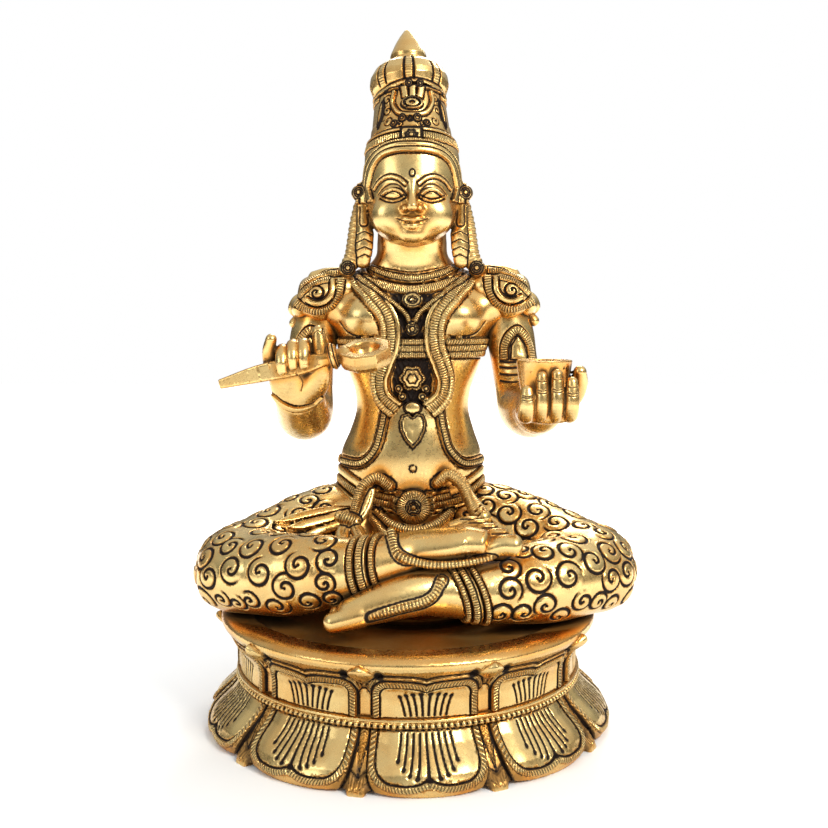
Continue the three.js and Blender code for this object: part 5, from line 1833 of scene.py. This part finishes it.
def brass(name):
    material = bpy.data.materials.new(name)
    material.use_nodes = True
    nodes = Nodes(material.node_tree)
    shader = material.node_tree.nodes["Principled BSDF"]
    link = material.node_tree.links.new
    place = nodes.tree.nodes.new("ShaderNodeTexCoord").outputs["Object"]
    clouds = nodes.add("TexNoise", Vector=place, Scale=CLOUD_SCALE, Detail=4.0).outputs["Fac"]
    grain = nodes.add("TexNoise", Vector=place, Scale=GRAIN_SCALE, Detail=3.0).outputs["Fac"]
    dents = nodes.add("TexNoise", Vector=place, Scale=DENT_SCALE, Detail=2.0).outputs["Fac"]
    dark = nodes.attribute("patina")
    # hollow holds the occlusion of each vertex, used below as painted shade
    hollow = nodes.attribute("hollow")
    ticks = nodes.attribute("ticks")
    wave = nodes.math("SINE", nodes.math("MULTIPLY", nodes.attribute("tick_run"), TURN))
    tick_dark = nodes.math("MULTIPLY", nodes.spread(wave, -0.15, -0.95), ticks)
    # Painted shade: the brass darkens where the forms close in
    closed = nodes.spread(nodes.math("ADD", hollow, nodes.math("MULTIPLY", dents, 0.03)), 0.36, 0.9)
    patina_and_shade = nodes.math("MAXIMUM", nodes.spread(dark, 0.06, 0.55), nodes.math("MULTIPLY", tick_dark, 0.85))
    # Patina in the carved lines and ticks, joined here by the painted shade of hollows
    patina_and_shade = nodes.math("MAXIMUM", patina_and_shade, nodes.math("MULTIPLY", closed, 0.9))
    cloudy = nodes.spread(clouds, 0.38, 0.68, 0.0, 0.4)
    # Random warm clouds in the brass, plus painted warm shade where the hollow attribute is high
    tone_and_warm_shade = nodes.math("ADD", cloudy, nodes.spread(hollow, 0.02, 0.35, 0.0, 0.7))
    tone_with_warm_shade = nodes.blend(tone_and_warm_shade, (*CLEAN_BRASS, 1), (*WARM_TONE_AND_SHADE, 1))
    link(nodes.blend(patina_and_shade, tone_with_warm_shade, (*PATINA_AND_SHADE_COLOUR, 1)), shader.inputs["Base Color"])
    rough = nodes.math("ADD", nodes.spread(grain, 0.3, 0.7, 0.25, 0.32), nodes.math("MULTIPLY", patina_and_shade, 0.35))
    link(rough, shader.inputs["Roughness"])
    shader.inputs["Specular IOR Level"].default_value = 0.2
    link(nodes.spread(patina_and_shade, 0.2, 0.9, 1.0, 0.05), shader.inputs["Metallic"])
    skin = nodes.math("ADD", dents, nodes.math("MULTIPLY", grain, 0.12))
    cast_bump = nodes.add("Bump", Height=skin, Distance=CAST_BUMP, Strength=0.6)
    tick_bump = nodes.add("Bump", Height=nodes.math("MULTIPLY", wave, ticks), Distance=TICK_BUMP,
                          Strength=0.9, Normal=cast_bump.outputs["Normal"])
    link(tick_bump.outputs["Normal"], shader.inputs["Normal"])
    return material


FINISH = {"figure_brass": brass("figure_brass"), "pedestal_brass": brass("pedestal_brass")}

with ThreadPoolExecutor(4) as pool:
    reliefs = list(pool.map(lambda piece: piece[1](), PIECES))
    results = list(pool.map(worked_out, range(len(PIECES))))
for (name, _, node, slot, _, shift), (vertices, faces, normals, values) in zip(PIECES, results):
    thing = blender_mesh(name, vertices, faces, normals, values, shift)
    thing.data.materials.append(FINISH[slot])
    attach(thing, "root")
    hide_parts(node)
    print(name, len(faces))


# Floor, light and camera

def floor():
    data = bpy.data.meshes.new("floor")
    size = 3.0
    data.from_pydata([(-size, -size, 0), (size, -size, 0), (size, size, 0), (-size, size, 0)], [],
                     [(0, 1, 2, 3)])
    thing = bpy.data.objects.new("floor", data)
    bpy.context.scene.collection.objects.link(thing)
    material = bpy.data.materials.new("pale_floor_painted_glow")
    material.use_nodes = True
    shader = material.node_tree.nodes["Principled BSDF"]
    shader.inputs["Base Color"].default_value = (0.93, 0.93, 0.93, 1)
    shader.inputs["Roughness"].default_value = 0.8
    shader.inputs["Emission Color"].default_value = (1, 1, 1, 1)
    nodes = Nodes(material.node_tree)
    place = nodes.tree.nodes.new("ShaderNodeTexCoord").outputs["Object"]
    away = nodes.tree.nodes.new("ShaderNodeVectorMath")
    away.operation = "LENGTH"
    nodes.tree.links.new(place, away.inputs[0])
    # Painted light: the floor glows more the further it is from the figure, and also lights the figure from
    # below
    painted_floor_glow = nodes.spread(away.outputs["Value"], 0.16, 0.7, 0.0, 0.9)
    nodes.tree.links.new(painted_floor_glow, shader.inputs["Emission Strength"])
    data.materials.append(material)


def lamp(name, place, target, size, power, colour=(1, 1, 1)):
    data = bpy.data.lights.new(name, "AREA")
    data.shape = "RECTANGLE"
    data.size, data.size_y = size
    data.energy = power
    data.color = colour
    thing = bpy.data.objects.new(name, data)
    thing.location = place
    thing.rotation_euler = (Vector(target) - Vector(place)).to_track_quat("-Z", "Y").to_euler()
    bpy.context.scene.collection.objects.link(thing)


def studio():
    """Plain studio surroundings: bright above and to the right, dimmer to the left and near the horizon."""
    world = bpy.data.worlds.new("studio")
    world.use_nodes = True
    nodes = Nodes(world.node_tree)
    way = nodes.tree.nodes.new("ShaderNodeTexCoord").outputs["Generated"]
    parts = nodes.add("SeparateXYZ", Vector=way)
    ramp = nodes.tree.nodes.new("ShaderNodeValToRGB")
    nodes.tree.links.new(nodes.spread(parts.outputs["Z"], -1, 1), ramp.inputs["Fac"])
    stops = [(0.0, (0.40, 0.22, 0.10)), (0.48, (0.42, 0.26, 0.13)), (0.53, (0.16, 0.15, 0.12)),
             (0.68, (0.44, 0.47, 0.46)), (0.82, (1.0, 1.07, 1.12)), (1.0, (1.5, 1.5, 1.5))]
    ramp.color_ramp.elements.remove(ramp.color_ramp.elements[1])
    ramp.color_ramp.elements[0].position = stops[0][0]
    ramp.color_ramp.elements[0].color = (*stops[0][1], 1)
    for position, colour in stops[1:]:
        ramp.color_ramp.elements.new(position).color = (*colour, 1)
    side = nodes.spread(parts.outputs["X"], -0.9, 0.9, 0.5, 0.72)
    around_it = nodes.add("Background", Color=ramp.outputs["Color"], Strength=side)
    seen = nodes.add("Background", Color=(1, 1, 1, 1), Strength=1.0)
    direct = nodes.tree.nodes.new("ShaderNodeLightPath").outputs["Is Camera Ray"]
    mix = nodes.tree.nodes.new("ShaderNodeMixShader")
    nodes.tree.links.new(direct, mix.inputs[0])
    nodes.tree.links.new(around_it.outputs[0], mix.inputs[1])
    nodes.tree.links.new(seen.outputs[0], mix.inputs[2])
    nodes.tree.links.new(mix.outputs[0], nodes.tree.nodes["World Output"].inputs["Surface"])
    bpy.context.scene.world = world


floor()
studio()
lamp("key", (0.75, -0.95, 1.05), (0, 0, 0.2), (0.5, 0.5), 15, (1, 0.97, 0.9))
lamp("fill", (-1.0, -0.8, 0.7), (0, 0, 0.2), (0.6, 0.6), 3.5, (0.9, 0.96, 1))
lamp("back", (0.2, 1.1, 1.2), (0, 0, 0.2), (0.8, 0.5), 12)
bpy.context.scene.view_settings.view_transform = "Standard"

# The photograph's camera, fitted to the pedestal's ellipses: its place, its tilt down and its focal length
IMAGE_PIXELS = 828
FOCAL_PIXELS = 1027
SENSOR_WIDTH = 36
CAMERA_PLACE = (0.0036, -0.607, 0.2376)
CAMERA_TILT = 0.0941

camera_data = bpy.data.cameras.new("camera")
camera = bpy.data.objects.new("camera", camera_data)
camera_data.sensor_width = SENSOR_WIDTH
camera_data.lens = FOCAL_PIXELS / IMAGE_PIXELS * SENSOR_WIDTH
camera.location = CAMERA_PLACE
camera.rotation_euler = (math.pi / 2 - CAMERA_TILT, 0, 0)
bpy.context.scene.collection.objects.link(camera)
bpy.context.scene.camera = camera
